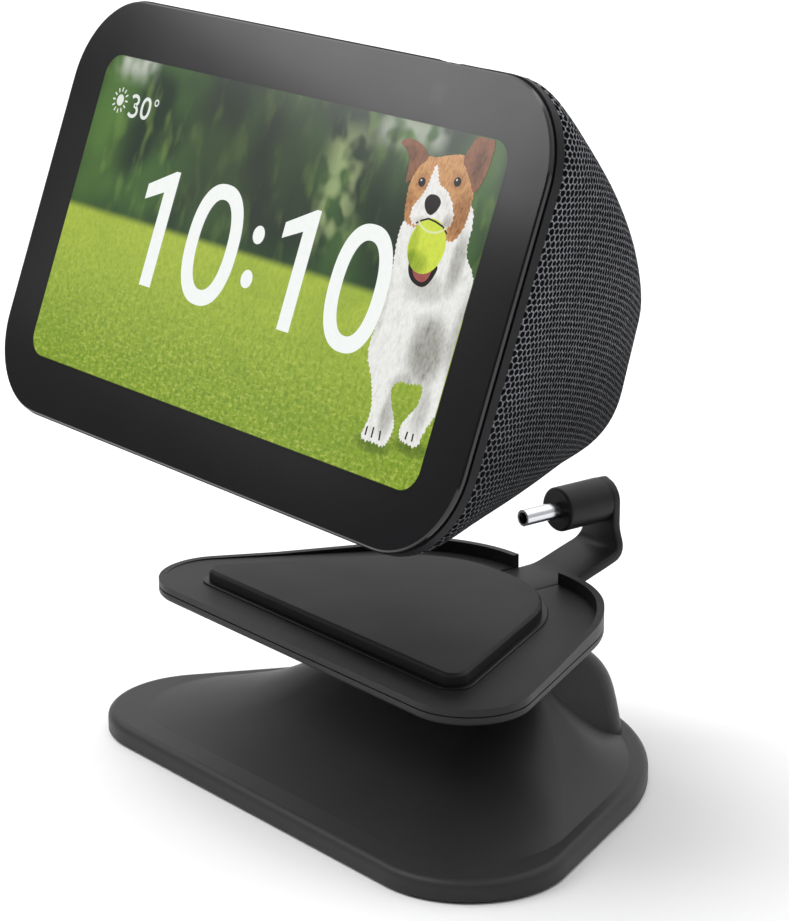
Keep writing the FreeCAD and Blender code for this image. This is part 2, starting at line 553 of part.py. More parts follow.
def strap_and_plug():
    lie = TRAY_TOP - STRAP_THICKNESS / 2
    upright = PLUG_REAR_Y + STRAP_THICKNESS / 2
    bend_z = lie + (upright - STRAP_RISE_Y) * math.tan(math.radians(STRAP_RISE))
    route = [V(STRAP_START_Y, lie), V(STRAP_RISE_Y, lie), V(upright, bend_z), V(upright, PLUG_Z)]
    profile = ribbon(route, [0, 8.0, 5.0, 0], STRAP_THICKNESS)
    strip = profile.extrude(V(0, 0, STRAP_WIDTH))
    strip.translate(V(0, 0, -STRAP_WIDTH / 2))
    # The profile's own x and y become the part's y and z.
    strip.Placement = FreeCAD.Placement(
        FreeCAD.Matrix(0, 0, 1, 0, 1, 0, 0, 0, 0, 1, 0, 0, 0, 0, 0, 1)).multiply(strip.Placement)
    half = STRAP_WIDTH / 2
    neck = [V(-half, 0, 20), V(half, 0, 20), V(half, 0, 34), V(PLUG_R, 0, 43), V(PLUG_R, 0, PLUG_Z),
            V(-PLUG_R, 0, PLUG_Z), V(-PLUG_R, 0, 43), V(-half, 0, 34)]
    mask = Part.Face(Part.makePolygon(neck + neck[:1])).extrude(V(0, 80, 0))
    strap = strip.common(mask)
    strap = strap.fuse(rod(V(0, PLUG_REAR_Y, PLUG_Z), V(0, 1, 0), PLUG_R, STRAP_THICKNESS))
    save("plug_strap", strap.removeSplitter())

    along = V(0, 1, 0)
    housing = rod(V(0, PLUG_FRONT_Y, PLUG_Z), along, PLUG_R, PLUG_REAR_Y - PLUG_FRONT_Y)
    front = [e for e in housing.Edges if abs(e.BoundBox.YMax - PLUG_FRONT_Y) < 1e-4]
    housing = housing.makeFillet(0.6, front)
    housing = housing.cut(rod(V(0, PLUG_FRONT_Y, PLUG_Z), along, BARREL_R, 2.5))
    save("plug_housing", housing)
    length = PLUG_FRONT_Y + 2.5 - PLUG_TIP_Y
    tip = V(0, PLUG_TIP_Y, PLUG_Z)
    barrel = tube(tip, along, BARREL_R, 1.25, length)
    save("plug_barrel", barrel)
    save("plug_insulator", tube(tip + along * 0.8, along, 1.25, 0.85, length - 0.8))
    save("plug_centre_contact", tube(tip + along * 1.6, along, 0.85, 0.62, length - 1.6))


# ---------------------------------------------------------------- hinge
def hinge():
    """Friction hinge: fixed eye in the neck, shaft, washers, and a tilting bracket under the tray."""
    across = V(1, 0, 0)
    axis = V(0, HINGE_Y, HINGE_Z)
    eye = rod(axis - across * 4.0, across, 4.0, 8.0)
    fixed = box(-8.4, 8.4, 12.0, 20.0, 3.6, 5.0).fuse(box(-4, 4, 13.4, 18.6, 5.0, HINGE_Z)).fuse(eye)
    fixed = fixed.cut(rod(axis - across * 20, across, SHAFT_R + 0.04, 40))
    for x in (-6.3, 6.3):
        fixed = fixed.cut(rod(V(x, HINGE_Y, 0), V(0, 0, 1), 1.25, 10))
    save("hinge_bracket_fixed", fixed)
    screws = []
    for x in (-6.3, 6.3):
        head = rod(V(x, HINGE_Y, 2.1), V(0, 0, 1), 2.0, 0.9)
        screws.append(head.fuse(rod(V(x, HINGE_Y, 3.0), V(0, 0, 1), 1.2, 2.4)))
    save("hinge_screws", group(screws))

    ear_out = EAR_X + EAR_THICK
    shaft = rod(axis - across * (ear_out + 2.0), across, 3.6, 2.0).fuse(
        rod(axis - across * ear_out, across, SHAFT_R, 2 * ear_out + 2.6))
    save("hinge_shaft", shaft)
    hexagon = [V(ear_out, HINGE_Y + 3.7 * math.cos(math.radians(60 * k)),
                 HINGE_Z + 3.7 * math.sin(math.radians(60 * k))) for k in range(7)]
    nut = Part.Face(Part.makePolygon(hexagon)).extrude(across * 2.2)
    save("hinge_nut", nut.cut(rod(axis, across, SHAFT_R, 30)))
    washers = [tube(axis + across * x, across, 4.4, SHAFT_R + 0.02, 0.5)
               for x in (EAR_X - 0.55, -EAR_X + 0.05)]
    save("friction_washers", group(washers))

    bracket = box(-20, 20, 6.5, 26.5, TRAY_BOTTOM + TRAY_SKIN, TRAY_SEAM)
    bracket = bracket.cut(box(-STRAP_SLOT, STRAP_SLOT, 21.0, 40, 20, 40))
    for side in (-1, 1):
        x0 = min(side * EAR_X, side * ear_out)
        blade = box(x0, x0 + EAR_THICK, HINGE_Y - EAR_R, HINGE_Y + EAR_R, HINGE_Z, TRAY_SEAM - 0.2)
        bracket = bracket.fuse(blade).fuse(rod(V(x0, HINGE_Y, HINGE_Z), across, EAR_R, EAR_THICK))
    bracket = bracket.cut(rod(axis - across * 30, across, SHAFT_R, 60))
    save("hinge_bracket_tilting", bracket.removeSplitter())


# ---------------------------------------------------------------- base
BASE_SCREWS = [V(x, y, 0) for x, y in ((-46, -30), (46, -30), (-33, 12), (33, 12))]
USB_X, USB_Z, INLET_X, INLET_Z = 10.5, 7.2, -10.5, 8.4
BOARD_TOP = 5.2
NECK_WALL, RISE_WALL = 1.8, 2.0

# Rings of the upright neck: half width, front y, rear y, height, corner radius.
NECK_RINGS = [
    (23.4, 3.0, 36.8, 3.8, 6.0), (22.9, 5.0, 36.4, 7.5, 6.0), (22.5, 6.6, 35.7, 11.5, 6.0),
    (22.1, 8.0, 34.6, 15.5, 5.8), (21.6, 9.2, 32.8, 19.0, 5.6), (21.0, 9.9, 30.0, 22.0, 5.5),
    (20.3, 10.4, 25.8, 24.4, 5.4),
]

# Rings of the broad rise from the base to the neck, in the tapered outline: outline and height.
RISE_RINGS = [
    ((72.0, -41.6, 39.8, 26.0, 18.5, 48.0), 4.5), ((66.0, -35.5, 36.0, 26.0, 18.5, 42.0), 5.1),
    ((57.5, -27.0, 32.0, 26.0, 17.0, 34.0), 6.9), ((49.5, -18.8, 27.0, 26.0, 15.0, 24.0), 9.4),
    ((42.5, -11.6, 22.0, 26.0, 12.0, 15.0), 12.5), ((35.0, -4.0, 17.5, 26.0, 8.5, 9.0), 16.2),
    ((26.5, 4.0, 14.5, 26.0, 4.0, 4.0), 20.2), ((16.5, 11.0, 13.2, 10.0, 0.8, 0.8), 23.4),
]


def neck_solid(inset):
    """The upright neck, shrunk by inset."""
    wires = []
    for half, front, rear, z, radius in NECK_RINGS:
        wire = rounded_rectangle(2 * (half - inset), rear - front - 2 * inset, radius - inset).OuterWire
        wire.translate(V(0, (front + rear) / 2, z))
        wires.append(wire)
    return Part.makeLoft(wires, True, False)


def rise_solid():
    """The broad hollow curve that rises from the base's edges to the neck."""
    return Part.makeLoft([outline_wire(outline, z) for outline, z in RISE_RINGS], True, False)


def rise_cavity():
    """The space under the rise, one wall thickness below it; the neck's core stays solid."""
    space = Part.makeLoft([outline_wire(outline, z - RISE_WALL) for outline, z in RISE_RINGS], True, True)
    return space.cut(box(-24.5, 24.5, 5.0, 60, 0, 60))


def base_shell():
    slab = plate(BASE_OUTLINE, 0.6, BASE_HEIGHT)
    slab = slab.makeFillet(1.7, edges_at(slab, BASE_HEIGHT))
    outer = slab.fuse(rise_solid()).fuse(neck_solid(0))
    axis = V(-KNUCKLE_HALF, HINGE_Y, HINGE_Z)
    across = V(1, 0, 0)
    knuckle = rod(axis, across, KNUCKLE_R, 2 * KNUCKLE_HALF)
    knuckle = knuckle.fuse(box(-KNUCKLE_HALF, KNUCKLE_HALF, 11.0, 21.0, HINGE_Z - 7.0, HINGE_Z))
    shell = outer
    for side in (-1, 1):
        x0, x1 = sorted((side * KNUCKLE_HALF, side * 17.4))
        shell = shell.cut(box(x0, x1, HINGE_Y - 5.9, HINGE_Y + 5.9, HINGE_Z - 6.0, 40))
    shell = shell.fuse(knuckle)
    shell = shell.cut(plate(grown(BASE_OUTLINE, -1.6), -1, BASE_HEIGHT - BASE_SKIN))
    shell = shell.cut(rise_cavity())
    shell = shell.cut(box(-8.8, 8.8, 11.7, 20.3, 0, HINGE_Z))
    shell = shell.cut(rod(V(-8.8, HINGE_Y, HINGE_Z), across, 4.3, 17.6))
    shell = shell.cut(rod(V(-30, HINGE_Y, HINGE_Z), across, SHAFT_R + 0.4, 60))
    shell = shell.cut(box(-20.5, 20.5, 23.0, 40.0, 0, 12.2).common(neck_solid(NECK_WALL)))
    shell = shell.cut(box(-20.5, 20.5, 23.0, 33.8, 0, 4.5))
    shell = shell.cut(stadium(USB_X, USB_Z, 9.1, 3.4, 30, 12))
    shell = shell.cut(rod(V(INLET_X, 30, INLET_Z), V(0, 1, 0), 3.3, 12))
    for at in BASE_SCREWS:
        post = tube(at + V(0, 0, 2.0), V(0, 0, 1), 3.0, 1.1, 20).common(outer)
        shell = shell.fuse(post)
    save("base_shell", shell)


def stadium(x, z, width, height, y, length):
    """A slot-shaped bar along +Y, as a USB-C shell has."""
    reach = (width - height) / 2
    bar = box(x - reach, x + reach, y, y + length, z - height / 2, z + height / 2)
    for side in (-1, 1):
        bar = bar.fuse(rod(V(x + side * reach, y, z), V(0, 1, 0), height / 2, length))
    return bar.removeSplitter()


def base_underside():
    cover = plate(grown(BASE_OUTLINE, -1.7), 0.8, 2.0)
    foot = plate(grown(BASE_OUTLINE, -3.0), 0, 0.8)
    foot = foot.cut(plate(grown(BASE_OUTLINE, -12.0), 0, 0.8))
    centre_foot = rod(V(0, 0, 0), V(0, 0, 1), 9.0, 0.8)
    ballast = plate(grown(BASE_OUTLINE, -4.0), 2.05, 3.55).cut(box(-21, 21, 22.6, 60, 0, 10))
    screws = []
    for at in BASE_SCREWS:
        cover = cover.cut(rod(at, V(0, 0, 1), 2.3, 3))
        foot = foot.cut(rod(at, V(0, 0, 1), 2.6, 3))
        ballast = ballast.cut(rod(at, V(0, 0, 1), 3.2, 10))
        head = rod(at + V(0, 0, 0.9), V(0, 0, 1), 2.1, 1.05)
        screws.append(head.fuse(rod(at + V(0, 0, 1.9), V(0, 0, 1), 1.0, 1.6)))
    for x in (-6.3, 6.3):
        ballast = ballast.cut(rod(V(x, HINGE_Y, 0), V(0, 0, 1), 1.3, 10))
        ballast = ballast.cut(rod(V(x, HINGE_Y, 0), V(0, 0, 1), 2.1, 3.02))
    save("base_bottom_cover", cover)
    save("base_foot_pad", group([foot, centre_foot]))
    save("ballast_plate", ballast)
    save("base_screws", group(screws))


def base_electronics():
    board = box(-19.5, 19.5, 24.0, 33.0, BOARD_TOP - 1.2, BOARD_TOP)
    legs = [box(x - 1.5, x + 1.5, 24.5, 32.5, 2.0, BOARD_TOP - 1.2) for x in (-17, 17)]
    save("power_board", board.fuse(legs[0]).fuse(legs[1]))
    shell = stadium(USB_X, USB_Z, 8.9, 3.2, 29.4, 7.6).cut(stadium(USB_X, USB_Z, 8.3, 2.6, 29.9, 8))
    shell = shell.fuse(box(USB_X - 3.0, USB_X + 3.0, 29.8, 35.6, USB_Z - 0.35, USB_Z + 0.35))
    shell = shell.fuse(box(USB_X - 3.8, USB_X + 3.8, 29.4, 33.0, BOARD_TOP, USB_Z - 1.45))
    save("usb_c_port", shell)
    jack = box(INLET_X - 4.2, INLET_X + 4.2, 25.0, 32.6, BOARD_TOP, 11.6)
    jack = jack.fuse(rod(V(INLET_X, 32.6, INLET_Z), V(0, 1, 0), 3.2, 3.5))
    jack = jack.cut(rod(V(INLET_X, 26.6, INLET_Z), V(0, 1, 0), 2.8, 20))
    save("power_inlet_jack", jack)
    tabs = [box(x - 0.4, x + 0.4, 23.3, 24.95, BOARD_TOP + 0.1, BOARD_TOP + 1.2) for x in (INLET_X - 2.6, INLET_X + 2.6)]
    save("inlet_terminals", group(tabs))


def main():
    os.makedirs("parts", exist_ok=True)
    front_stack()
    camera_and_shutter()
    display_shells()
    buttons()
    speaker()
    electronics()
    power_jack()
    tray()
    dock_pad()
    strap_and_plug()
    hinge()
    base_shell()
    base_underside()
    base_electronics()


main()
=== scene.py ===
"""Looks of the smart display on its tilting charging stand. Metres; the CAD part is the fixed frame."""
import json
import math

import bmesh
import bpy
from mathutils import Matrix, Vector


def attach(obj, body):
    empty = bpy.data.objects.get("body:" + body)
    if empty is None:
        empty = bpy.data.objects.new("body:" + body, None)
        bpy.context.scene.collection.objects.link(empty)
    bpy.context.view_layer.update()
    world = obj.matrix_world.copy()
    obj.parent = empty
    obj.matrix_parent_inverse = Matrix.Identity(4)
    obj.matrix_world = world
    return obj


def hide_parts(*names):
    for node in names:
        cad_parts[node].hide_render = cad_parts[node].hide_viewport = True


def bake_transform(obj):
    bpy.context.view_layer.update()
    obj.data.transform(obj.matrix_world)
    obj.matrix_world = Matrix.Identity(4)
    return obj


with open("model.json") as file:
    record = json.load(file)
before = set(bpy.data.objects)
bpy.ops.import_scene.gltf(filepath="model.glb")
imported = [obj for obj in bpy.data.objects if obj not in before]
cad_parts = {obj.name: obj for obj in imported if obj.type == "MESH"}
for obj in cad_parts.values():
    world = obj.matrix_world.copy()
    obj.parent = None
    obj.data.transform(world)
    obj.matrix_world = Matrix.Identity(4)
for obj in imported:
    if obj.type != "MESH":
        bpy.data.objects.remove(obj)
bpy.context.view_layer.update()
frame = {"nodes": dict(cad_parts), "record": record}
NODES = frame["nodes"]
MM = 0.001

# ---- driving sizes in millimetres, as in the CAD source
FACE_CENTRE = Vector((0, -42, 111.7))
FACE_TILT = math.radians(20.3)
SCREEN_WIDTH, SCREEN_HEIGHT, SCREEN_R = 124.9, 62.45, 4.5
UNDERSIDE = 70.2
FRAME_DEPTH = 3.1
FABRIC_THICK = 0.95
# Rings of the wedge body, front to rear: half width, (y, z) of its bottom and of its top, corner radii.
BODY_RINGS = [
    (73.25, (-56.75, 71.8), (-27.25, 151.6), 17.5, 17.5),
    (72.0, (-51.4, 69.9), (-21.9, 149.6), 17.0, 16.0),
    (64.0, (-35.0, 69.6), (-9.7, 138.6), 17.0, 11.0),
    (55.8, (-18.5, 69.6), (2.4, 127.4), 16.5, 8.0),
    (46.8, (-2.0, 69.6), (14.4, 115.6), 16.0, 7.0),
    (36.8, (14.5, 69.8), (25.0, 104.0), 13.0, 7.0),
    (28.6, (23.0, 73.0), (29.6, 98.4), 11.5, 8.0),
    (18.5, (28.9, 78.5), (32.2, 93.8), 7.0, 6.0),
    (7.5, (31.7, 83.5), (33.0, 89.7), 2.8, 2.8),
]
JACK_Z = 82.9
PORT_HOLE_R = 6.25
PORT_TOOL_FRONT, PORT_TOOL_REAR = 20.0, 40.0
# Tapered outlines: half width, front y, rear y, taper in degrees, front and rear corner radii.
RECESS_OUTLINE = (46.6, -30.1, 21.0, 28.0, 4.9, 25.9)
RECESS_TOP = 73.6
FOOT_OUTLINE = (54.05, -47.05, 13.05, 22.0, 9.0, 6.0)
BUTTON_ORIGIN = Vector((0, -15.2, 143.6))
SLOPE_DOWN = Vector((0, 0.7427, -0.6696))
SLOPE_OUT = Vector((0, 0.6696, 0.7427))
BAR_LENGTH, BAR_WIDTH = 58.1, 8.5
STRAP_WIDTH, STRAP_THICK, STRAP_NECK = 13.6, 2.0, 9.4
# Where the strap starts and leaves the tray, its slope in degrees, and the heights between which it narrows.
STRAP_START_Y, STRAP_RISE_Y, STRAP_RISE = 22.0, 35.0, 17.0
STRAP_WIDE_Z, STRAP_NARROW_Z = 35.0, 42.5
STRAP_EDGE_R, STRAP_BEND_R, STRAP_FOLD_R = 0.5, 14.0, 3.4
STRAP_HEAD_R, STRAP_HEAD_MIN = 4.7, 0.3
TRAY_TOP = 33.7
PLUG_Z, PLUG_REAR_Y = 47.0, 46.9
PAD_OUTLINE = (42.4, -26.2, 21.1, 28.0, 3.0, 24.0)
PAD_BOTTOM, PAD_TOP = 34.1, 36.5

FACE_UP = Vector((0, math.sin(FACE_TILT), math.cos(FACE_TILT)))
FACE_OUT = Vector((0, -math.cos(FACE_TILT), math.sin(FACE_TILT)))


def on_face(x, up, out):
    """Millimetres across, up and out of the glass to a row point in metres."""
    return (FACE_CENTRE + Vector((x, 0, 0)) + FACE_UP * up + FACE_OUT * out) * MM


# ---------------------------------------------------------------- shader helpers
def srgb(*channels):
    """Linear colour of an sRGB colour given from 0 to 255."""
    linear = [(c / 255 / 12.92) if c <= 10 else ((c / 255 + 0.055) / 1.055) ** 2.4 for c in channels]
    return (*linear, 1.0)


class Graph:
    """Small helper that builds one node material."""

    def __init__(self, name):
        self.material = bpy.data.materials.new(name)
        self.material.use_nodes = True
        self.tree = self.material.node_tree
        self.shader = self.tree.nodes["Principled BSDF"]

    def node(self, kind, **sockets):
        n = self.tree.nodes.new(kind)
        for key, value in sockets.items():
            self.feed(n.inputs[key.replace("_", " ")], value)
        return n

    def feed(self, socket, value):
        if isinstance(value, bpy.types.NodeSocket):
            self.tree.links.new(value, socket)
        else:
            socket.default_value = value

    def math(self, operation, *values):
        """One step of arithmetic; each value is a number or a socket."""
        n = self.tree.nodes.new("ShaderNodeMath")
        n.operation = operation
        for socket, value in zip(n.inputs, values):
            self.feed(socket, value)
        return n.outputs[0]

    def step(self, value, low, high):
        """0 below low, 1 above high, smooth in between; low may be the larger."""
        n = self.tree.nodes.new("ShaderNodeMapRange")
        n.interpolation_type = "SMOOTHSTEP"
        self.feed(n.inputs["Value"], value)
        if low <= high:
            self.feed(n.inputs["From Min"], low)
            self.feed(n.inputs["From Max"], high)
            return n.outputs["Result"]
        self.feed(n.inputs["From Min"], high)
        self.feed(n.inputs["From Max"], low)
        n.inputs["To Min"].default_value = 1.0
        n.inputs["To Max"].default_value = 0.0
        return n.outputs["Result"]

    def mix(self, factor, a, b, blend="MIX"):
        n = self.tree.nodes.new("ShaderNodeMix")
        n.data_type = "RGBA"
        n.blend_type = blend
        self.feed(n.inputs["Factor"], factor)
        self.feed(n.inputs["A"], a)
        self.feed(n.inputs["B"], b)
        return n.outputs["Result"]

    def noise(self, vector, scale, detail=3.0, rough=0.55):
        n = self.node("ShaderNodeTexNoise", Scale=scale, Detail=detail, Roughness=rough)
        self.feed(n.inputs["Vector"], vector)
        return n.outputs["Fac"]

    def scaled(self, vector, x, y, z):
        n = self.tree.nodes.new("ShaderNodeMapping")
        n.inputs["Scale"].default_value = (x, y, z)
        self.feed(n.inputs["Vector"], vector)
        return n.outputs["Vector"]

    def veil(self, cover, strength, under, colour):
        """Lay a colour over another where cover is 1, with a strength of up to 1."""
        return self.mix(self.math("MULTIPLY", cover, strength), under, colour)

    def object_mm(self):
        """Object coordinates in millimetres."""
        n = self.tree.nodes.new("ShaderNodeTexCoord")
        return self.scaled(n.outputs["Object"], 1000, 1000, 1000)

    def split(self, vector):
        n = self.tree.nodes.new("ShaderNodeSeparateXYZ")
        self.feed(n.inputs[0], vector)
        return n.outputs

    def join(self, x, y, z=0.0):
        n = self.tree.nodes.new("ShaderNodeCombineXYZ")
        for socket, value in zip(n.inputs, (x, y, z)):
            self.feed(socket, value)
        return n.outputs[0]

    def bump(self, height, strength, distance):
        n = self.node("ShaderNodeBump", Strength=strength, Distance=distance, Height=height)
        self.feed(self.shader.inputs["Normal"], n.outputs["Normal"])

    def surface(self, **sockets):
        for key, value in sockets.items():
            self.feed(self.shader.inputs[key.replace("_", " ")], value)
        return self.material


GRAIN_DEPTH, BRUSH_DEPTH, FOAM_DEPTH, KNIT_DEPTH = 0.00006, 0.00003, 0.0003, 0.00028
MOTTLE = 0.12
MOULDED_SPECULAR = 0.2


def shaded(colour, factor):
    return (colour[0] * factor, colour[1] * factor, colour[2] * factor, 1)


def moulded(name, colour, rough, grain=0.35, grain_scale=9.0, coat=0.0):
    """Moulded or soft-touch plastic: fine grain, slight mottling of colour and gloss."""
    g = Graph(name)
    mm = g.object_mm()
    fine = g.noise(mm, grain_scale, 4.0, 0.6)
    broad = g.noise(mm, 0.09, 3.0, 0.5)
    shade = g.math("MULTIPLY_ADD", broad, 2 * MOTTLE, 1 - MOTTLE)
    tint = g.mix(1.0, colour, g.join(shade, shade, shade), "MULTIPLY")
    gloss = g.math("MULTIPLY_ADD", broad, 0.10, rough - 0.05)
    gloss = g.math("ADD", gloss, g.math("MULTIPLY", g.math("SUBTRACT", fine, 0.5), 0.08))
    g.bump(fine, grain, GRAIN_DEPTH)
    if coat:
        g.surface(Coat_Weight=coat, Coat_Roughness=0.2)
    return g.surface(Base_Color=tint, Roughness=gloss, Specular_IOR_Level=MOULDED_SPECULAR)


def metal(name, colour, rough, brushed=0.5, direction=(60.0, 1.5, 1.5)):
    """Machined or stamped metal with fine lines along one direction."""
    g = Graph(name)
    mm = g.object_mm()
    lines = g.noise(g.scaled(mm, *direction), 1.0, 3.0, 0.6)
    smear = g.noise(mm, 0.5, 3.0, 0.5)
    tint = g.veil(smear, 0.35, colour, shaded(colour, 0.6))
    gloss = g.math("MULTIPLY_ADD", lines, 0.18, rough)
    g.bump(lines, brushed * 0.3, BRUSH_DEPTH)
    return g.surface(Base_Color=tint, Metallic=1.0, Roughness=gloss)


def foam(name, colour):
    """Open-cell foam with painted shade inside its cells."""
    g = Graph(name)
    cells = g.node("ShaderNodeTexVoronoi", Scale=2.4)
    g.feed(cells.inputs["Vector"], g.object_mm())
    g.bump(cells.outputs["Distance"], 0.8, FOAM_DEPTH)
    # Painted shade: the colour darkens in the hollows of the cells.
    tint = g.mix(cells.outputs["Distance"], shaded(colour, 0.4), colour)
    return g.surface(Base_Color=tint, Roughness=0.95)


def circuit(name):
    """Solder mask with faint copper tracks."""
    g = Graph(name)
    tracks = g.node("ShaderNodeTexBrick", Scale=0.45, Mortar_Size=0.035,
                    Color1=srgb(18, 84, 44), Color2=srgb(14, 70, 36), Mortar=srgb(58, 132, 70))
    g.feed(tracks.inputs["Vector"], g.object_mm())
    return g.surface(Base_Color=tracks.outputs["Color"], Roughness=0.35, Coat_Weight=0.4, Coat_Roughness=0.15)


# ---------------------------------------------------------------- mesh helpers
def add_object(name, mesh, material=None, body=None):
    obj = bpy.data.objects.new(name, mesh)
    bpy.context.scene.collection.objects.link(obj)
    if material:
        mesh.materials.append(material)
    if body:
        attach(obj, body)
    return obj


def mesh_from(name, points, faces, smooth=True):
    mesh = bpy.data.meshes.new(name)
    mesh.from_pydata([tuple(p) for p in points], [], faces)
    mesh.update()
    for polygon in mesh.polygons:
        polygon.use_smooth = smooth
    return mesh


def corner_arc(centre, radius, start, end, steps):
    angles = [math.radians(start + (end - start) * k / steps) for k in range(steps + 1)]
    return [(centre[0] + radius * math.cos(a), centre[1] + radius * math.sin(a)) for a in angles]


def rounded_rectangle(width, height, radius, steps):
    w, h = width / 2 - radius, height / 2 - radius
    corners = [((w, h), 0), ((-w, h), 90), ((-w, -h), 180), ((w, -h), 270)]
    return [p for centre, start in corners for p in corner_arc(centre, radius, start, start + 90, steps)]


TAPER_STEPS = 14


def tapered_outline(outline, by=0.0):
    """Anticlockwise points of a tapered, round-cornered outline (x, y), offset outwards by a distance."""
    half, front, rear, taper, front_r, rear_r = outline
    angle = math.radians(taper)
    half += by * (1 / math.cos(angle) + math.tan(angle))
    front, rear, front_r, rear_r = front - by, rear + by, front_r + by, rear_r + by
    rear_half = half - (rear - front) * math.tan(angle)
    corners = [Vector(p) for p in ((-half, front), (half, front), (rear_half, rear), (-rear_half, rear))]
    radii = [front_r, front_r, rear_r, rear_r]
    points = []
    for i, here in enumerate(corners):
        a = (corners[i - 1] - here).normalized()
        b = (corners[(i + 1) % 4] - here).normalized()
        half_angle = a.angle(b) / 2
        centre = here + (a + b).normalized() * (radii[i] / math.sin(half_angle))
        start = here + a * (radii[i] / math.tan(half_angle)) - centre
        end = here + b * (radii[i] / math.tan(half_angle)) - centre
        a0 = math.atan2(start.y, start.x)
        turn = (math.atan2(end.y, end.x) - a0 + math.pi) % (2 * math.pi) - math.pi
        for k in range(TAPER_STEPS + 1):
            angle_k = a0 + turn * k / TAPER_STEPS
            points.append((centre.x + radii[i] * math.cos(angle_k), centre.y + radii[i] * math.sin(angle_k)))
    return points


def prism(name, rings):
    """A closed solid through rings of equal point count, bottom to top, capped at both ends."""
    count = len(rings[0])
    points = [p for ring in rings for p in ring]
    faces = [tuple(range(count))[::-1], tuple(range(len(points) - count, len(points)))]
    for r in range(len(rings) - 1):
        for k in range(count):
            a, b = r * count + k, r * count + (k + 1) % count
            faces.append((a, b, b + count, a + count))
    return mesh_from(name, points, faces)


def catmull_rom(p0, p1, p2, p3, steps):
    """Points of the smooth curve from p1 up to, but not including, p2."""
    points = []
    for k in range(steps):
        t = k / steps
        points.append(0.5 * (2 * p1 + (p2 - p0) * t + (2 * p0 - 5 * p1 + 4 * p2 - p3) * t * t
                             + (3 * p1 - p0 - 3 * p2 + p3) * t ** 3))
    return points


LOOP_STEPS = 6


def smooth_loop(points):
    """Smooth curve through a closed loop of points."""
    result = []
    for i in range(len(points)):
        result += catmull_rom(*(Vector(points[(i + k - 1) % len(points)]) for k in range(4)), LOOP_STEPS)
    return result


def apply_modifiers(obj):
    """Swap an object's mesh for its evaluated one and drop the modifiers."""
    bpy.context.view_layer.update()
    graph = bpy.context.evaluated_depsgraph_get()
    final = obj.evaluated_get(graph)
    mesh = bpy.data.meshes.new_from_object(final, preserve_all_data_layers=True, depsgraph=graph)
    obj.modifiers.clear()
    obj.data = mesh


# ---------------------------------------------------------------- fabric cover
FLAT_STEPS, SIDE_STEPS, CORNER_STEPS, ROW_STEPS = 44, 20, 14, 7


def ring_points(ring):
    """Perimeter of a body ring, from the middle of the bottom round by +X, laid out alike on every ring."""
    half, low, high, low_r, high_r = ring
    low, high = Vector((0, *low)), Vector((0, *high))
    up = (high - low).normalized()
    height = (high - low).length
    half_steps = FLAT_STEPS // 2
    flat = []
    for k in range(half_steps):
        flat.append(((half - low_r) * k / half_steps, 0))
    flat += corner_arc((half - low_r, low_r), low_r, 270, 360, CORNER_STEPS)[:-1]
    for k in range(SIDE_STEPS):
        flat.append((half, low_r + (height - low_r - high_r) * k / SIDE_STEPS))
    flat += corner_arc((half - high_r, height - high_r), high_r, 0, 90, CORNER_STEPS)[:-1]
    for k in range(half_steps):
        flat.append(((half - high_r) * (1 - k / half_steps), height))
    right = flat + [(0, height)]
    left = [(-x, u) for x, u in reversed(right[1:-1])]
    return [low + Vector((x, 0, 0)) + up * u for x, u in right + left]


def body_columns():
    """Smooth columns of the wedge body, front to rear: columns[column][row] in millimetres."""
    rings = [ring_points(r) for r in BODY_RINGS]
    columns = []
    for c in range(len(rings[0])):
        line = [ring[c] for ring in rings]
        line = [line[0] * 2 - line[1]] + line + [line[-1] * 2 - line[-2]]
        column = []
        for i in range(1, len(line) - 2):
            column += catmull_rom(*line[i - 1:i + 3], ROW_STEPS)
        columns.append(column + [line[-2]])
    return columns


def face_depth(p):
    """How far a point in millimetres lies behind the glass."""
    return (FACE_CENTRE - p).dot(FACE_OUT)


def frame_rear(column):
    """Where a column passes the frame's rear: the point, and the row just in front of it."""
    for i in range(len(column) - 1):
        a, b = face_depth(column[i]), face_depth(column[i + 1])
        if a < FRAME_DEPTH <= b:
            return column[i].lerp(column[i + 1], (FRAME_DEPTH - a) / (b - a)), i
    raise ValueError("a column never reaches the frame's rear")


def cut_with(obj, tools):
    """Cut an object with closed tool objects, which are removed afterwards."""
    for tool in tools:
        modifier = obj.modifiers.new("cut", "BOOLEAN")
        modifier.operation = "DIFFERENCE"
        modifier.solver = "EXACT"
        modifier.object = tool
    apply_modifiers(obj)
    for tool in tools:
        bpy.data.objects.remove(tool)


def outline_tool(name, points, low, high):
    """An upright tool between two heights."""
    rings = [[Vector((x, y, z)) * MM for x, y in points] for z in (low, high)]
    return add_object(name, prism(name, rings))


def slope_tool(name, points, reach):
    """A tool square to the sloped back, reaching as far into it as out of it."""
    rings = []
    for out in (-reach, reach):
        origin = BUTTON_ORIGIN + SLOPE_OUT * out
        rings.append([(origin + Vector((x, 0, 0)) + SLOPE_DOWN * down) * MM for x, down in points])
    return add_object(name, prism(name, rings))


def port_tool(name, radius):
    """A round tool along Y at the power jack."""
    circle = corner_arc((0, 0), radius, 0, 360, 48)[:-1]
    ends = (PORT_TOOL_FRONT, PORT_TOOL_REAR)
    rings = [[Vector((x, y, JACK_Z + z)) * MM for z, x in circle] for y in ends]
    return add_object(name, prism(name, rings))


# Columns of the skin: the middles of the lower corner, the side and the upper corner.
LOWER_FOLD = FLAT_STEPS // 2 + CORNER_STEPS // 2
SIDE_MIDDLE = FLAT_STEPS // 2 + CORNER_STEPS + SIDE_STEPS // 2
UPPER_FOLD = LOWER_FOLD + SIDE_STEPS + CORNER_STEPS
# The knit turns at the folds, so side, bottom and top have coordinates of their own, a shift apart.
SIDE, BOTTOM, TOP = 0, 1, 2
ZONE_SHIFT = 400.0
CAP_BULGE = 0.35
TOOL_DROP, FOOT_CUT, BAR_CUT = 4, 1.1, 6


